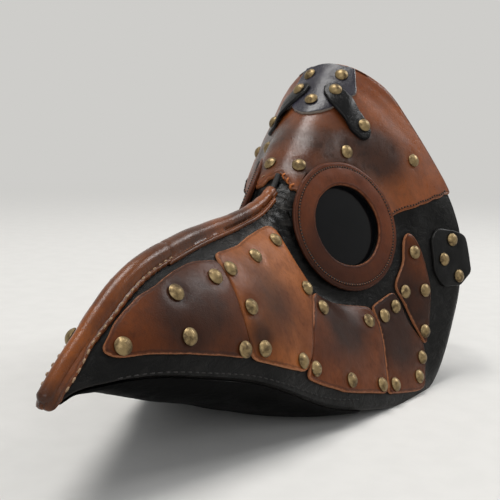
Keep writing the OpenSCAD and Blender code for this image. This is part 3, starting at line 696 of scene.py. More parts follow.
v, s = np.meshgrid(np.arange(0.5, 11.001, 0.1), np.linspace(-1, 1, 61), indexing="ij")
outer, inner = belly(v, s, 0.0), belly(v, s, BODY_T * mix(0.3, 1, smooth(v - 0.5)))
side_share = smooth((np.abs(s) - 0.7) / 0.25) * smooth((0.99 - np.abs(s)) / 0.04)
pucker = 0.35 * np.sin(outer[..., 1] * 1.5) * side_share + 0.35 * layered(outer, 20, 9)
outer[..., 2] = np.maximum(0, outer[..., 2] - np.maximum(-0.6, pucker) * (outer[..., 2] > 1.0))
faces = outward(grid_faces(*v.shape), outer, np.tile([0, 0, -1.0], (v.size, 1)))
thick("belly", outer, inner, faces, belly_leather_painted_shade, "black_leather", "underside_gusset", edge_r=0)

# ---- Ridge roll ----
ROLL_JOINT, ROLL_END, CORE_R = 5.5, 10.06, 2.7


def core_at(v):
    """The cord's radius: thinner towards the nose, and where the tip narrows."""
    return CORE_R * mix(1, 0.55, smooth((v - 5.5) / 4.5)) - 1.15 * smooth((3.6 - v) / 2.6)


def t_where(v, x, t=0.15):
    """The t at which the surface is x from the middle."""
    v, x = paired(v, x)
    for _ in range(6):
        a, b = at(v, t)[..., 0], at(v, t + 0.01)[..., 0]
        t = np.clip(t + (x - a) * 0.01 / np.maximum(0.05, b - a), 0.01, 1)
    return t


def roll_edge(v, flange):
    full = np.interp(v, [0.2, 0.45, 0.6, 0.9, 1.32, 1.74, 2.2], [1, 0.92, 0.78, 0.66, 0.46, 0.3, 0.05])
    return np.minimum(1, np.maximum(t_where(v, core_at(v) + LAYER + flange), full))


def roll_rows(v, above, flange, swell=0.0, scallop=0.0):
    """Sections over the cord, from edge to edge; at the tip they close underneath."""
    p, n = at(v, 0), out_dir(v, 0)
    c, r = GAP + core_at(v), core_at(v) + above + swell
    edge = np.minimum(1, roll_edge(v, flange) + scallop)
    foot = np.minimum(t_where(v, r + 0.3), edge * 0.75)
    half = []
    for a in np.linspace(0, np.pi / 2, 14):
        q = p + n * (c + r * np.cos(a))[:, None]
        q[:, 0] += r * np.sin(a)
        half.append(q)
    wrap = smooth((0.5 - v) / 0.25)
    last = edge - 0.03 * (1 - wrap)
    for f in np.linspace(0, 1, 12):
        half.append(lift(v, mix(foot, last, f), above + 0.5 * swell * (1 - f)))
    for f in np.linspace(0, 1, 9)[1:]:
        under = lift(v, 1, above)
        under[:, 0] *= 1 - 0.98 * f
        under[:, 2] -= (0.3 + above * 0.35) * np.sin(np.pi / 2 * min(1, f * 2))
        half.append(mix(lift(v, mix(last, edge, f), above), under, wrap[:, None]))
    half = np.stack(half, 1)
    return np.concatenate([half[:, :0:-1] * [-1, 1, 1], half], 1)


def roll_cover(part, v, flange, swell, scallop=0.0, tip=()):
    """A length of the leather over the cord; tip holds the sizes of the sections that round its end."""
    top, low = roll_rows(v, LAYER, flange, swell, scallop), roll_rows(v, GAP, flange, 0.0, scallop)
    if tip:
        middle, ends = top[0].mean(0), [(f, 2.4 * math.sqrt(1 - f * f)) for f in tip]
        cap = [middle + (top[0] - middle) * f - [0, d, d * 0.5] for f, d in ends]
        lining = [middle + (low[0] - middle) * f * 0.85 - [0, d * 0.3, 0] for f, d in ends]
        top, low = np.concatenate([cap, top]), np.concatenate([lining, low])
    faces = outward(grid_faces(*top.shape[:2]), top, unit(top - low))
    dark = smudged(top.reshape(-1, 3), [(-134, 104, 24), (-100, 108, 14), (-48, 118, 13), (-208, 56, 8)]) * 0.8
    return thick("ridge_" + part, top, low, faces, roll_leather, "brown_leather", "ridge_cover_" + part,
                 edge_r=1.0, values={"burnish_and_shade": dark})


v = np.concatenate([np.linspace(0, 2.2, 80)[:-1], np.linspace(2.2, ROLL_JOINT + 0.06, 100)])
ridge = at(v, 0)
swell = 0.16 * noise(ridge, 24, 11) - 0.25 * smooth((v - 5.45) / 0.1)
roll_cover("front", v, 1.0, swell, 0.004 * np.sin(ridge[:, 1] * 2 * np.pi / 4.6),
           tip=(0.02, 0.25, 0.45, 0.63, 0.78, 0.89, 0.96))
v = np.linspace(ROLL_JOINT - 0.1, ROLL_END, 170)
ridge = at(v, 0)
creased = smooth((v - 8.0) / 1.0) * smooth((10.1 - v) / 0.4)
folds = np.sin(ridge[:, 1] * 0.55 + 4 * noise(ridge, 11, 3)) * (0.5 + 0.5 * noise(ridge, 8, 6))
swell = 0.2 * noise(ridge, 14, 12) + creased * 0.3 * folds - 0.75 * smooth((5.62 - v) / 0.16)
rear_cover = roll_cover("rear", v, mix(1.9, 0.1, smooth((v - 9.74) / 0.05)), swell)

CORD_SIDES = 16
v = np.linspace(0.8, 10.8, 160)
r = (core_at(v) * mix(1, 1.15, smooth((v - 10.05) / 0.1)))[:, None]
angles = around(CORD_SIDES)
wound = 1 + 0.05 * np.sin(angles[None] * 3 + v[:, None] * 22)
cord = at(v, 0)[:, None] + out_dir(v, 0)[:, None] * (GAP + r + r * np.cos(angles) * wound)[..., None]
cord[..., 0] += r * np.sin(angles) * wound
cord = cord.reshape(-1, 3)
faces = tube_faces(len(v), CORD_SIDES).tolist()
faces += [list(range(CORD_SIDES)), list(range(len(cord) - 1, len(cord) - 1 - CORD_SIDES, -1))]
build("padding_cord", cord, faces, cord_cloth, "cord", "ridge_core")


# ---- Patches ----
# The crown's legs and the brow are laid out on (v, t), stretched to about millimetres.
LEG_MM, BROW_MM = np.array([10.0, 95.0]), np.array([14.0, 80.0])


def leather_patch(name, outline, axes, v_range, material, slot, node, side=1, under=0, t_range=(0.0, 1.0),
                  radius=3.2, spots=(), soft=(), tone=0.0, puff=0.5, pull=0.7, edge_r=1.3):
    """A riveted piece whose outline is drawn in a view, or on (v, t) where axes is None."""
    border = rounded_outline(outline, radius, 1.1)
    wobble = 0.15 * noise(np.pad(border, ((0, 0), (0, 1))), 7, len(outline))
    border = border + sideways(border) * wobble[:, None]
    flat, faces = filled(border)
    v, t = find_vt(flat, axes, v_range, t_range) if axes else (flat / LEG_MM).T
    base = at(v, t)
    below = under(base) if callable(under) else under
    away = distance_2d(flat, border)
    height = below + LAYER + puff * smooth(away / 7) - 0.25 * puff + rivet_pull(base, pull) * smooth(away / 3)
    top = lift(v, t, height + 0.16 * layered(base, 9, 21))
    dark = np.clip(smudged(base, spots) + tone * (0.7 + 0.5 * layered(base, 30, 8)), 0, 1)
    joined = np.zeros(len(base))
    for y, z, size in soft:
        joined = np.maximum(joined, np.exp(-(np.hypot(base[:, 1] - y, base[:, 2] - z) / size) ** 4))
    return thick(name, top, lift(v, t, below + GAP), outward(faces, top, out_dir(v, t)), material, slot, node, side,
                 edge_r=edge_r, values={"burnish_and_shade": dark, "joined": joined})


# Outline (y, z), range of ribs, dark spots and joined places (y, z, size), overall darkness.
PATCHES = {
    "beak": ([(-181, 70.5), (-176, 67), (-160, 66.2), (-141, 62.8), (-122, 58.4), (-105, 53.6), (-102.3, 58),
              (-100.2, 74), (-97.6, 89), (-95.8, 98.4), (-112, 99.8), (-132, 96.3), (-154, 89.2), (-169, 80.5)],
             (1.2, 6.6), [(-123, 83, 19), (-138, 76, 12)], [(-100, 76, 15)], 0.32),
    "muzzle": ([(-94.3, 101.2), (-72.3, 102.6), (-47, 107), (-30.8, 109), (-26.6, 104.2), (-29, 88.8),
                (-26.4, 76.6), (-41.2, 61), (-53.3, 46), (-64.6, 38), (-84, 45.4), (-102, 52.4), (-102, 58),
                (-100.1, 74), (-97.5, 89)],
               (4.8, 10.2), [(-72, 76, 17), (-94, 62, 8)], [(-100, 76, 15)], 0.0),
    "cheek": ([(-28.8, 73), (-15, 67.6), (-1, 61), (17, 58), (23.6, 56), (22.9, 47), (20.9, 36), (14, 22),
               (6.2, 9.8), (-32, 19.6), (-50, 27.4), (-65, 35), (-53.8, 45.4), (-41.6, 60.3)],
              (6.8, 12.3), [(-12, 50, 20), (-10, 64, 12)], [(-52, 50, 9)], 0.2),
    "jaw": ([(24.3, 56.3), (45, 63.6), (48.4, 58.4), (52.3, 42.4), (61.8, 28.4), (59.6, 18.2), (50.2, 3.4),
             (42, 2.6), (6.8, 9.2), (14.2, 21.6), (21.1, 36), (23.2, 47)],
            (9.3, 14.4), [(38, 42, 24)], [], 0.45),
    "temple": ([(71.5, 98.6), (66, 92.8), (60, 79), (51, 70), (47.8, 64.5), (52.6, 57), (56, 44), (63.6, 26.4),
                (71.4, 43), (77.6, 63), (76.6, 84), (75, 94)],
               (11.8, 16.5), [(60, 54, 16)], [], 0.55),
}
TAB = [(83.6, 71.4), (88.8, 61.2), (104, 60.4), (114.9, 68.6), (115.8, 93), (109.5, 96.6), (94.3, 99.7), (87.2, 92.5)]
for key, (outline, v_range, spots, soft, tone) in PATCHES.items():
    for side, name in SIDES:
        leather_patch(key + "_" + name, outline, SIDE_VIEW, v_range,
                      patch_leather if key == "muzzle" else deep_leather, "brown_leather",
                      key + "_patch_" + name, side, radius=4.2, spots=spots, soft=soft, tone=tone)
for side, name in SIDES:
    leather_patch("tab_" + name, TAB, SIDE_VIEW, (13.8, 19.2), tab_leather, "black_leather", "strap_tab_" + name,
                  side, t_range=(0.5, 1.2), radius=3.4, puff=0.7)

# ---- Crown ----
PLATE = [(2.5, 42.6), (8, 47), (12, 52), (16, 61), (21, 71.2), (18.8, 76), (16.4, 80.6), (14, 84.4), (12.2, 87.5)]
leather_patch("crown_plate_top", PLATE + [(-x, y) for x, y in reversed(PLATE)], TOP_VIEW, (13, 20.5),
              plate_leather_painted_sheen, "crown_leather", "crown_plate", under=LAYER, t_range=(-0.6, 0.6), radius=1.4, puff=0.3,
              edge_r=0.9)
LEG = [(15.55, 0.070), (16.28, 0.056), (16.66, 0.095), (16.74, 0.155), (16.56, 0.215), (16.46, 0.26),
       (16.28, 0.30), (16.14, 0.345), (15.98, 0.388), (15.76, 0.42), (15.38, 0.422), (15.14, 0.41),
       (14.92, 0.388), (14.8, 0.35), (14.72, 0.315), (14.82, 0.26), (14.94, 0.195), (15.12, 0.13)]
for side, name in SIDES:
    leather_patch("crown_leg_piece_" + name, LEG * LEG_MM, None, None, crown_leather, "crown_leather",
                  "crown_leg_" + name, side, radius=1.5, puff=0.7, pull=0.3,
                  under=lambda base: mix(2, 1, smooth((np.abs(base[:, 0]) - 19) / 7)) * LAYER)

# ---- Brow ----
HEM = np.array([(1.5, 127), (12, 114), (25, 100), (44, 101), (58, 104), (65.2, 108.8), (75.7, 112.2),
                (85.4, 115.1), (97, 118.3), (108, 121)], float)
half = [(10.9, 0.0), (10.7, 0.05), (10.58, 0.1), *zip(*find_vt(HEM, SIDE_VIEW, (9.5, 20))),
        (18.0, 1.0), (18.6, 1.0), (19.5, 1.0), (LAST_RIB, 1.0)] * BROW_MM
border = rounded_outline(np.vstack([half, half[:0:-1] * [1, -1]]), 1.6, 1.2)
scallops = 0.4 * np.sin(np.cumsum(np.linalg.norm(border - np.roll(border, 1, 0), axis=1)) * 2 * np.pi / 6.2)
border = border + sideways(border) * (scallops * (border[:, 0] < 11.4 * BROW_MM[0]))[:, None]
flat, faces = filled(border, 2.4)
v, t = np.clip((flat / BROW_MM).T, [[10], [-1]], [[LAST_RIB], [1]])
base = at(v, t)
away = distance_2d(flat, border)
height = LAYER + 0.5 * smooth(away / 8) - 0.15 + rivet_pull(base) * smooth(away / 3) + 0.25 * layered(base, 13, 31)
top = lift(v, t, height + 0.35 * bell(away, 3.2, 1.2))
faces = outward(faces, top, out_dir(v, t))
middle = one_side(base[faces].mean(1))
faces = faces[(eye_radius(middle) >= 36.5) | (middle[:, 0] <= 5)]
dark = smudged(one_side(base), [(34, 153, 15), (57, 142, 20), (70, 150, 12), (14, 135, 8)])
brow = thick("brow_sheet", top, lift(v, t, GAP), faces, brow_leather, "brown_leather", "brow_panel", edge_r=1.2,
             values={"burnish_and_shade": dark})

# ---- Eyes ----
EYE_R, RING_R, RING_T, RING_RISE, SEAM_R = 25.4, 40.9, 3.2, 1.0, 37.4
LENS_R, LENS_DOME = 29.4, 1.8
RING_AT = EYE_AT + eye_right * 1.6


def ring_top(radius):
    s = (radius - EYE_R - 1.2) / (RING_R - 0.9 - EYE_R - 1.2)
    high = mix(GAP + RING_T + RING_RISE, GAP + RING_T, s)
    return high + 0.35 * np.sin(np.pi * np.clip(s, 0, 1)) - 0.32 * bell(radius, SEAM_R, 0.6)


def eye_ring(side, name):
    """A thick ring, turned from its profile, with an uneven edge; the opening's wall is black leather as painted
    shade, and the walls, lower side and seam groove carry painted shade.
    """
    radii = np.concatenate([[EYE_R + 1.2], np.linspace(28, 36, 7), np.linspace(36.4, 38, 8), [38.6, 39.1, 39.5]])
    profile = [(EYE_R, GAP), (EYE_R, GAP + 1.2), (EYE_R, GAP + 2.6), (EYE_R + 0.1, 3.8), (EYE_R + 0.5, 4.4)]
    profile += [(r, ring_top(r)) for r in radii]
    profile += [(40.3, 3.2), (40.7, 2.9), (RING_R, 2.4), (40.7, 1.7), (40.2, 1.0), (39.6, GAP), (34, GAP), (29, GAP)]
    r, h = np.array(profile).T
    angles = around(216)
    circle = np.stack([np.cos(angles), np.sin(angles), 0 * angles], 1)
    wave_out, wave_in = 0.28 * noise(circle * 30, 9, 41 + side), 0.22 * noise(circle * 30, 8, 51 + side)
    radius = r + mix(wave_in[:, None], wave_out[:, None], smooth((r - EYE_R) / (RING_R - EYE_R)))
    bumps = 0.12 * noise(radius[..., None] * circle[:, None], 6, 61) * (h > 3)
    points = eye_place(radius, angles[:, None], h + bumps, RING_AT).reshape(-1, 3)
    # Below the top face the walls take the pressed-line darkening: painted shade.
    rim = np.where(h > 3.0, np.minimum(RING_R - r, r - EYE_R) + 0.15, 1.6)
    # Painted shade: darker towards the ring's lower side and in the seam groove.
    lower = (np.sin(angles + 0.6)[:, None] * -0.5 + 0.25) + 0 * radius
    dark = np.clip(smooth(lower) * 0.8 + 0.9 * bell(r, SEAM_R, 0.5), 0, 1)
    faces = tube_faces(len(angles), len(r), closed=True).tolist()
    piece = build("ring_" + name, points, faces, ring_leather, "ring_leather", "eye_ring_" + name, side,
                  {"rim": np.tile(rim, len(angles)), "burnish_and_shade": dark.ravel()}, 40)
    # The opening's wall takes the black leather: painted shade in the recess.
    piece.data.materials.append(body_leather)
    piece.data.polygons.foreach_set("material_index", [int(k % len(r) < 2) for k in range(len(faces))])


def lens(side, name):
    """A disc with a gently domed face."""
    radii, n = np.linspace(0, LENS_R, 16)[1:], 96
    heights = np.append(LENS_DOME * (1 - (radii / LENS_R) ** 2), -BODY_T)
    rings = eye_place(np.append(radii, LENS_R)[:, None], around(n), heights[:, None])
    points = np.vstack([eye_place(0.0, 0.0, LENS_DOME), rings.reshape(-1, 3), eye_place(0.0, 0.0, -BODY_T)])
    last = len(points) - 1
    faces = [[0, 1 + k, 1 + (k + 1) % n] for k in range(n)] + (tube_faces(len(rings), n) + 1).tolist()
    faces += [[last, last - n + (k + 1) % n, last - n + k] for k in range(n)]
    build("lens_dome_" + name, points, faces, lens_glass, "lens", "lens_" + name, side,
          {"rim": np.full(len(points), 9)}, 40)


for side, name in SIDES:
    eye_ring(side, name)
    lens(side, name)


# ---- Stitches ----
def stitches(name, side, centres, alongs, normals, length, radius, material, slot):
    """Short threads that rise out of the leather and dip back into it."""
    c, a, n = (np.broadcast_to(k * [side, 1, 1], centres.shape)[:, None, None] for k in (centres, alongs, normals))
    w = unit(np.cross(n, a))
    f, q = np.linspace(-1, 1, 7)[:, None, None], around(6)[:, None]
    middle = c + a * (f * length / 2) + n * (radius * 0.5 - np.abs(f) ** 3 * radius * 1.5)
    thin = radius * (1 - 0.35 * f * f)
    points = (middle + w * (thin * np.cos(q)) + n * (thin * np.sin(q))).reshape(-1, 3)
    one = tube_faces(7, 6)[:, [0, 3, 2, 1]].tolist() + [list(range(5, -1, -1)), list(range(36, 42))]
    faces = [[start + k for k in face] for start in range(0, len(points), 42) for face in one]
    build(name, points, faces, material, slot, sharp=60)


def ring_stitches(side, name, count=116):
    angles = around(count)
    alongs = eye_place(1.0, angles + np.pi / 2, 0.0) - EYE_AT
    tilt = 0.1 * hashed(np.outer(np.arange(count), [1, 0, 0]), 3)
    alongs = unit(alongs + (eye_place(1.0, angles, 0.0) - EYE_AT) * tilt[:, None])
    # The rows of holes are dark thread pieces that paint the shade in the stitch holes.
    for part, turn, above, length, radius, material in (("stitches", 0, 0.1, 1.3, 0.34, tan_thread),
                                                        ("holes", np.pi / count, 0.06, 1.15, 0.64, black_thread_and_hole_shade)):
        centres = eye_place(SEAM_R, angles + turn, ring_top(SEAM_R) + above, RING_AT)
        stitches("ring_%s_%s" % (part, name), side, centres, alongs, eye_normal, length, radius, material,
                 "ring_leather")


def seam_row(name, side, v_start, v_end, share, above, pitch, *stitch):
    """Stitches along the line on the surface whose t at v is share(v)."""
    v = np.linspace(v_start, v_end, 900)
    lengths = run(lift(v, share(v), above))
    where = np.interp(np.arange(pitch / 2, lengths[-1], pitch), lengths, v)
    centres = lift(where, share(where), above)
    alongs = unit(lift(where + 0.01, share(where + 0.01), above) - centres)
    stitches(name, side, centres, alongs, out_dir(where, share(where)), *stitch)


hem_v, hem_t = find_vt(HEM[4:] + [0.3, 2.1], SIDE_VIEW, (9.5, 20))


def hem_share(v):
    return np.interp(v, hem_v, hem_t)


# First and last rib, share, height, pitch; length and radius of a stitch, its thread and slot.
SEAMS = {
    "front_stitches": (0.55, 5.5, lambda v: roll_edge(v, 1.0) - 0.025, LAYER, 4.8, 2.6, 0.48, cream_thread,
                       "brown_leather"),
    "rear_stitches": (5.66, 9.68, lambda v: roll_edge(v, 0.5), LAYER + 0.02, 2.1, 1.4, 0.3, tan_thread,
                      "brown_leather"),
    "hem_stitches": (hem_v[0], hem_v[-1], hem_share, LAYER + 0.28, 2.3, 1.3, 0.3, tan_thread, "brown_leather"),
    # This row paints the shade in the hem's stitch holes with dark thread.
    "hem_holes": (hem_v[0] + 0.09, hem_v[-1], hem_share, LAYER + 0.22, 2.3, 0.95, 0.55, black_thread_and_hole_shade,
                  "brown_leather"),
    "chin_stitches": (2.2, 9.2, lambda v: 0 * v + 0.965, 0.15, 4.2, 2.9, 0.4, black_thread_and_hole_shade, "black_leather"),
}
for side, name in SIDES:
    ring_stitches(side, name)
    for key, row in SEAMS.items():
        seam_row(key + "_" + name, side, *row)

# ---- Harness: x, y, z of each row of points, from edge to edge of a strap ----
UNDER = BODY_T + 3 * GAP
TAB_Z, STRAP_Z, DROOP_Z = 79.0, 62.0, 62.0 - STRAP_W - 11
TURN_X, TURN_Y, SIDE_X, FOLD_X = 34.0, 119.0, 82.0, -27.0
HALF_W, TOP_HALF = STRAP_W / 2, 14.0
ACROSS = np.linspace(-1, 1, 5)


def strap_row(x, y, z):
    return np.stack([x + 0 * ACROSS, y + 0 * ACROSS, z + 0 * ACROSS], 1)


def turn_row(degrees, z, half_width, lean, above):
    """A row where the strap turns from the side to the back; lean tips it over."""
    a = math.radians(degrees)
    n = unit(np.array([(BACK_Y - TURN_Y) * math.cos(a), (SIDE_X - TURN_X) * math.sin(a), 0]))
    c = np.array([TURN_X + (SIDE_X - TURN_X) * math.cos(a), TURN_Y + (BACK_Y - TURN_Y) * math.sin(a), z])
    s = unit(np.array([-n[1] * lean, n[0] * lean, 1]))
    return c + s * (ACROSS * half_width)[:, None] + n * ((above - 0.5) * STRAP_T)


def back_rows(above, start, turn, end_z, leaning, tail):
    """One half of the back strap: inside the temple, round the side, and along the back."""
    rows = []
    for y, half_width in ((84, 12), (86, 15.5), (90, 17), (96, 17), (102, 17), (107, 16.5)):
        v, t = find_vt(np.stack([np.full(5, y), TAB_Z + ACROSS * half_width], 1), SIDE_VIEW, (12, 20), (0.4, 1.1))
        rows.append(lift(v, t, -UNDER - (1 - above) * STRAP_T))
    for a in range(0, 91, 10):
        f = min(1, (a + start) / turn)
        rows.append(turn_row(a, mix(TAB_Z, end_z, smooth(f)), mix(15.5, HALF_W, smooth(a / 40)),
                             leaning * 4 * f * (1 - f), above))
    return rows + [strap_row(x, BACK_Y + (above - 0.5) * STRAP_T, end_z + ACROSS * HALF_W * k) for x, k in tail]


def resampled(rows, guide, step=2.0, columns=19):
    """Rows of points drawn out into a fine grid along smooth curves, evenly by the guide's middle."""
    rows = np.array(rows)
    lengths = run(np.array(guide)[:, rows.shape[1] // 2])
    wanted = np.linspace(0, lengths[-1], int(lengths[-1] / step) + 2)
    i = np.clip(np.searchsorted(lengths, wanted, side="right") - 1, 0, len(rows) - 2)
    f = ((wanted - lengths[i]) / (lengths[i + 1] - lengths[i]))[:, None, None]
    gaps = np.diff(lengths)[:, None, None]
    slopes = np.concatenate([(rows[1:2] - rows[:1]) / gaps[0], (rows[2:] - rows[:-2]) / (gaps[1:] + gaps[:-1]),
                             (rows[-1:] - rows[-2:-1]) / gaps[-1]])
    fine = (rows[i] * (2 * f ** 3 - 3 * f ** 2 + 1) + slopes[i] * gaps[i] * (f ** 3 - 2 * f ** 2 + f)
            + rows[i + 1] * (3 * f ** 2 - 2 * f ** 3) + slopes[i + 1] * gaps[i] * (f ** 3 - f ** 2))
    old, new = np.linspace(-1, 1, rows.shape[1]), np.linspace(-1, 1, columns)
    return np.apply_along_axis(lambda line: np.interp(new, old, line), 1, fine)


def strap(name, rows, node, side=1, holes=(), seed=0):
    """A strap with a pressed groove along each edge."""
    guide = rows(0.5)
    top, low = resampled(rows(1.0), guide), resampled(rows(0.0), guide)
    n = unit(top - low)
    s = np.linspace(-1, 1, top.shape[1])[None, :, None]
    groove = -0.28 * bell(np.abs(s), 0.78, 0.05)
    wave = 0.22 * layered(top, 18, seed)[..., None] + groove
    top, low = top + n * np.minimum(wave, 0.15), low + n * (wave - groove) * 0.3
    faces = grid_faces(*top.shape[:2])
    for x, z, r in holes:
        centre = top.reshape(-1, 3)[faces].mean(1)
        faces = faces[(np.hypot(centre[:, 0] - x, centre[:, 2] - z) > r) | (centre[:, 1] < BACK_Y - 6)]
    thick(name, top, low, outward(faces, top, n), strap_leather, "strap_leather", node, side, edge_r=0.8, edge_h=0.5)


BUCKLE_TAIL = ((TURN_X - 10, 1), (0, 1), (FOLD_X + 5.6, 1))
HOLE_TAIL = ((20, 1), (0, 1), (-20, 1), (-40, 1), (-46, 0.8), (-50, 0.45), (-52, 0.1))
strap("buckle_strap_piece", lambda above: back_rows(above, 20, 110, STRAP_Z, 0, BUCKLE_TAIL), "buckle_strap", seed=71)
strap("hole_strap_piece", lambda above: back_rows(above, 9, 95, DROOP_Z, 1, HOLE_TAIL), "hole_strap", side=-1,
      seed=72, holes=[(2 - 10 * k, DROOP_Z, 2.5) for k in range(5)])


def arc(middle, radius, degrees):
    a = np.radians(degrees)
    return list(np.stack([middle[0] + radius * np.cos(a), middle[1] + radius * np.sin(a)], 1))


OUT_Y, IN_Y = BACK_Y + STRAP_T + GAP, BACK_Y - STRAP_T - GAP
LOOP_LOW, LOOP_R = STRAP_Z - HALF_W - 0.5, STRAP_T + GAP
crown_y, crown_z = (at(LAST_RIB, 0.0) - out_dir(LAST_RIB, 0.0) * (UNDER + STRAP_T / 2))[1:]
a, b, c, d = np.array([[crown_y, crown_z], [crown_y + 34, crown_z - 9], [OUT_Y, STRAP_Z + 88], [OUT_Y, STRAP_Z + 34]])
f = np.arange(0.06, 1.0, 0.08)[:, None]
# The top strap's way from the crown, down the back, round the back strap and up again, as (y, z).
top_path = np.array([*(a * (1 - f) ** 3 + b * 3 * f * (1 - f) ** 2 + c * 3 * f * f * (1 - f) + d * f ** 3),
                     (OUT_Y, STRAP_Z + 26), (OUT_Y, STRAP_Z + 10), (OUT_Y, LOOP_LOW),
                     *arc((BACK_Y, LOOP_LOW), LOOP_R, range(-30, -151, -30)),
                     (IN_Y, LOOP_LOW), (IN_Y, STRAP_Z + HALF_W + 0.6), (BACK_Y - 0.3, STRAP_Z + HALF_W + 5),
                     (BACK_Y - 0.3, STRAP_Z + HALF_W + 15)])


def top_rows(above):
    rows = []
    for v in np.arange(17, LAST_RIB + 0.01, 0.5):
        half_width = TOP_HALF * (0.8 if v < 17.3 else 1)
        t = t_where(v, np.abs(ACROSS) * half_width, 0.3) * np.sign(ACROSS)
        rows.append(lift(v, t, -UNDER - (1 - above) * STRAP_T))
    for i, p in enumerate(top_path):
        d = unit(top_path[min(len(top_path) - 1, i + 1)] - top_path[max(0, i - 1)])
        y, z = p + np.array([-d[1], d[0]]) * ((above - 0.5) * STRAP_T)
        rows.append(strap_row(ACROSS * mix(TOP_HALF, HALF_W, min(1, i / 6)), y, z))
    return rows


strap("top_strap_piece", top_rows, "top_strap", seed=73)


def band(name, path, across, width, thickness, x, node, closed=False, body="mask"):
    """A strip of leather along a path in one plane, as a fold or a loop; across is the axis it is wide in."""
    path = np.array(path)
    d = unit(np.roll(path, -1, 0) - np.roll(path, 1, 0) if closed else np.gradient(path, axis=0))
    n = np.stack([d[:, 1], -d[:, 0]], 1)
    columns = np.linspace(-0.5, 0.5, 9) * width
    top, low = (np.stack([np.insert(path + n * offset, across, c, axis=1) for c in columns], 1)
                + [x, BACK_Y, STRAP_Z] for offset in (thickness / 2, -thickness / 2))
    faces = grid_faces(len(path) + closed, 9) % (len(path) * 9)
    thick(name, top, low, outward(faces, top, unit(top - low)), strap_leather, "strap_leather", node, edge_r=0.6,
          edge_h=0.55, body=body)


# The fold that holds the buckle's bar, and the loop that keeps the strap's end.
BAR_R, CHAPE_T, CHAPE_L = 1.6, 1.8, 13.0
KEEPER_X, KEEPER_W, KEEPER_WALL, CORNER_R = 27.0, 9.0, 1.6, 1.4
chape_mid = STRAP_T / 2 + GAP + CHAPE_T / 2
flap = np.linspace(0, CHAPE_L - 4.5, 9)
chape_path = [(CHAPE_L - k, chape_mid) for k in flap]
chape_path += arc((0, 0), BAR_R + 0.4 + CHAPE_T / 2, range(60, 301, 12)) + [(4.5 + k, -chape_mid) for k in flap]
band("buckle_fold", chape_path, 2, STRAP_W, CHAPE_T, FOLD_X, "buckle_chape")
corner_y, corner_z = (k / 2 + 0.5 + KEEPER_WALL / 2 - CORNER_R for k in (STRAP_T, STRAP_W))
keeper_path = []
for y, z, start in ((1, 1, 0), (-1, 1, 90), (-1, -1, 180), (1, -1, 270)):
    keeper_path += arc((y * corner_y, z * corner_z), CORNER_R, range(start, start + 91, 15))
band("keeper_loop", keeper_path, 0, KEEPER_W, KEEPER_WALL, KEEPER_X, "strap_keeper", closed=True, body="keeper")

# ---- CAD parts whose shape is right ----
KEPT = {"rivets": antique_brass, "buckle_frame": plated_steel, "buckle_prong": plated_steel,
        "lens_retainer": tab_leather}
for node, piece in frame["nodes"].items():
    for word, material in KEPT.items():
        if word in node:
            piece.data.materials.clear()
            piece.data.materials.append(material)
            smooth_shaded(piece.data, 40)

# ---- Threads at the nose ----
bpy.context.view_layer.update()
spots, faces = [], []
for piece in (brow, rear_cover, *panels):
    start = len(spots)
    spots += [v.co.copy() for v in piece.data.vertices]
    faces += [[start + k for k in f.vertices] for f in piece.data.polygons]
carrier = BVHTree.FromPolygons(spots, faces)


def thread_curve(name, spots, radius, material):
    """A thin thread through the given points, in metres."""
    curve = bpy.data.curves.new(name, "CURVE")
    curve.dimensions = "3D"
    curve.bevel_depth, curve.bevel_resolution, curve.resolution_u = radius, 2, 6
    curve.use_fill_caps = True
    spline = curve.splines.new("BEZIER")
    spline.bezier_points.add(len(spots) - 1)
    for point, spot in zip(spline.bezier_points, spots):
        point.co = spot
        point.handle_left_type = point.handle_right_type = "AUTO"
    curve.materials.append(material)
    piece = linked(name, curve)
    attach(piece, "mask")


knot_x, knot_y = POINTS["nose knot"]
for k, (dx, dy) in enumerate(((-4, -5), (0, 0), (4, 5))):
    spot, normal = place((knot_x + dx, knot_y + dy), carrier)
    along = Vector((0, 1, 0)).cross(normal).normalized()
    across = normal.cross(along)
    loop = [spot - normal * 0.0004 - across * 0.0016, spot + normal * 0.0007 - along * 0.0006,
            spot + normal * 0.0009 + across * 0.0005, spot - normal * 0.0004 + across * 0.0018]
    thread_curve("nose_knot_%d" % k, loop, 0.00052, orange_thread)
for key, way in (("thread end front", 1), ("thread end rear", -0.6)):
    spot, normal = place(POINTS[key], carrier)
    foot = carrier.find_nearest(spot + Vector((0.004, 0.006, -0.001)) * way)[0]
    middle = (spot + foot) / 2 + normal * 0.0022
    thread_curve(key.replace(" ", "_"), [foot, middle, spot + normal * 0.0006], 0.00022, cream_thread)

# ---- Floor and light ----
BACKDROP = rgb(206, 205, 202)


def backdrop_rays(tree):
    """1 for the rays that see the plain backdrop: those of the camera, of reflections and through glass."""
    path, total = tree.nodes.new("ShaderNodeLightPath"), None
    for kind in ("Camera", "Glossy", "Transmission"):
        socket = path.outputs["Is %s Ray" % kind]
        if total is not None:
            either = tree.nodes.new("ShaderNodeMath")
            either.operation = "MAXIMUM"
            tree.links.new(total, either.inputs[0])
            tree.links.new(socket, either.inputs[1])
            socket = either.outputs[0]
        total = socket
    return total


paper = Shader("floor_paper")
speck = paper.ramp(paper.noise(60, 3, 0.5), 0.3, 0.7)
paper.finish(Base_Color=paper.blend(speck, rgb(213, 212, 209), rgb(216, 215, 212)), Roughness=0.8)
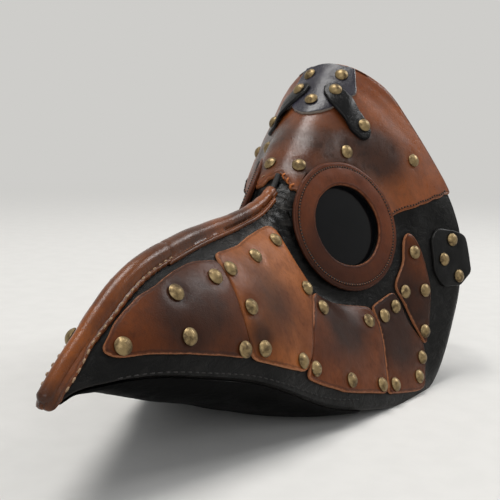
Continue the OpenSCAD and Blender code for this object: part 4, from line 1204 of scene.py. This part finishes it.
# Far from the mask the paper fades into the backdrop's colour.
far = paper.node("VectorMath", {0: paper.coords}, operation="LENGTH").outputs["Value"]
fade = paper.mul(paper.ramp(far, 0.5, 1.5), backdrop_rays(paper.tree))
glow = paper.node("Emission", {"Color": BACKDROP}).outputs[0]
either = paper.node("MixShader", {0: fade, 1: paper.principled.outputs[0], 2: glow})
paper.put(paper.tree.nodes["Material Output"].inputs["Surface"], either.outputs[0])
mesh = bpy.data.meshes.new("floor")
mesh.from_pydata([(-8, -8, 0), (8, -8, 0), (8, 8, 0), (-8, 8, 0)], [], [(0, 1, 2, 3)])
mesh.materials.append(paper.material)
floor = linked("floor", mesh)

for name, spot, size, power, colour in (("key", (-0.35, 0.0, 2.4), (1.2, 1.0), 44, (1, 0.985, 0.96)),
                                        ("fill", (0.9, -2.0, 1.2), (1.8, 1.2), 14, (0.97, 0.985, 1)),
                                        ("back", (1.0, 1.4, 1.5), (0.9, 0.6), 16, (1, 1, 1))):
    data = bpy.data.lights.new(name, "AREA")
    data.shape, data.energy, data.color = "RECTANGLE", power, colour
    data.size, data.size_y = size
    lamp = linked(name, data)
    lamp.location = spot
    lamp.rotation_euler = (Vector((0, 0, 0.1)) - Vector(spot)).to_track_quat("-Z", "Y").to_euler()

world = bpy.data.worlds.new("world")
bpy.context.scene.world = world
world.use_nodes = True
tree = world.node_tree
choose = tree.nodes.new("ShaderNodeMixShader")
tree.links.new(backdrop_rays(tree), choose.inputs[0])
for k, node, colour, strength in ((1, tree.nodes["Background"], (0.75, 0.76, 0.78, 1), 0.3),
                                  (2, tree.nodes.new("ShaderNodeBackground"), BACKDROP, 1.0)):
    node.inputs["Color"].default_value = colour
    node.inputs["Strength"].default_value = strength
    tree.links.new(node.outputs[0], choose.inputs[k])
tree.links.new(choose.outputs[0], tree.nodes["World Output"].inputs["Surface"])
bpy.context.scene.view_settings.view_transform = "Standard"

# ---- Where each listed feature falls in the image, from what is built ----
bpy.context.view_layer.update()
shown = []
for piece in bpy.context.scene.objects:
    if piece.type == "MESH" and piece is not floor and not piece.hide_render:
        co = np.empty(len(piece.data.vertices) * 3)
        piece.data.vertices.foreach_get("co", co)
        shown.append(pixels(co))
ring_edge = pixels(to_m(eye_place(RING_R, np.linspace(0, 6.28, 90), GAP + 1.0, RING_AT)))
(left, top), (far_right, bottom) = np.vstack(shown).min(0), np.vstack(shown).max(0)
found = {
    "left edge": (left, None), "right edge": (far_right, None), "top edge": (None, top), "bottom edge": (None, bottom),
    "eye ring left": (ring_edge[:, 0].min(), None), "eye ring right": (ring_edge[:, 0].max(), None),
    "eye ring centre": pixels(to_m(eye_place(0.0, 0.0, GAP + RING_T, RING_AT)))[0],
    "nose knot": pixels(place(POINTS["nose knot"], carrier)[0])[0],
}
for key, q, layers in (("beak patch front rivet", FACE_RIVETS[0], 1), ("beak patch rear rivet", FACE_RIVETS[4], 1),
                       ("muzzle patch top rivet", FACE_RIVETS[7], 1), ("cheek patch low rivet", FACE_RIVETS[14], 1),
                       ("temple patch rivet", FACE_RIVETS[22], 1), ("brow rivet", BROW_RIVETS[1], 1),
                       ("crown rivet", CROWN_RIVETS[0], 2), ("tab rivet", TAB_RIVETS[0], 1)):
    found[key] = pixels(to_m(at(*q) + out_dir(*q) * (layers * LAYER + 1.6)))[0]
for key in ("thread end front", "thread end rear"):
    found[key] = pixels(bpy.data.objects[key.replace(" ", "_")].data.splines[0].bezier_points[2].co[:])[0]
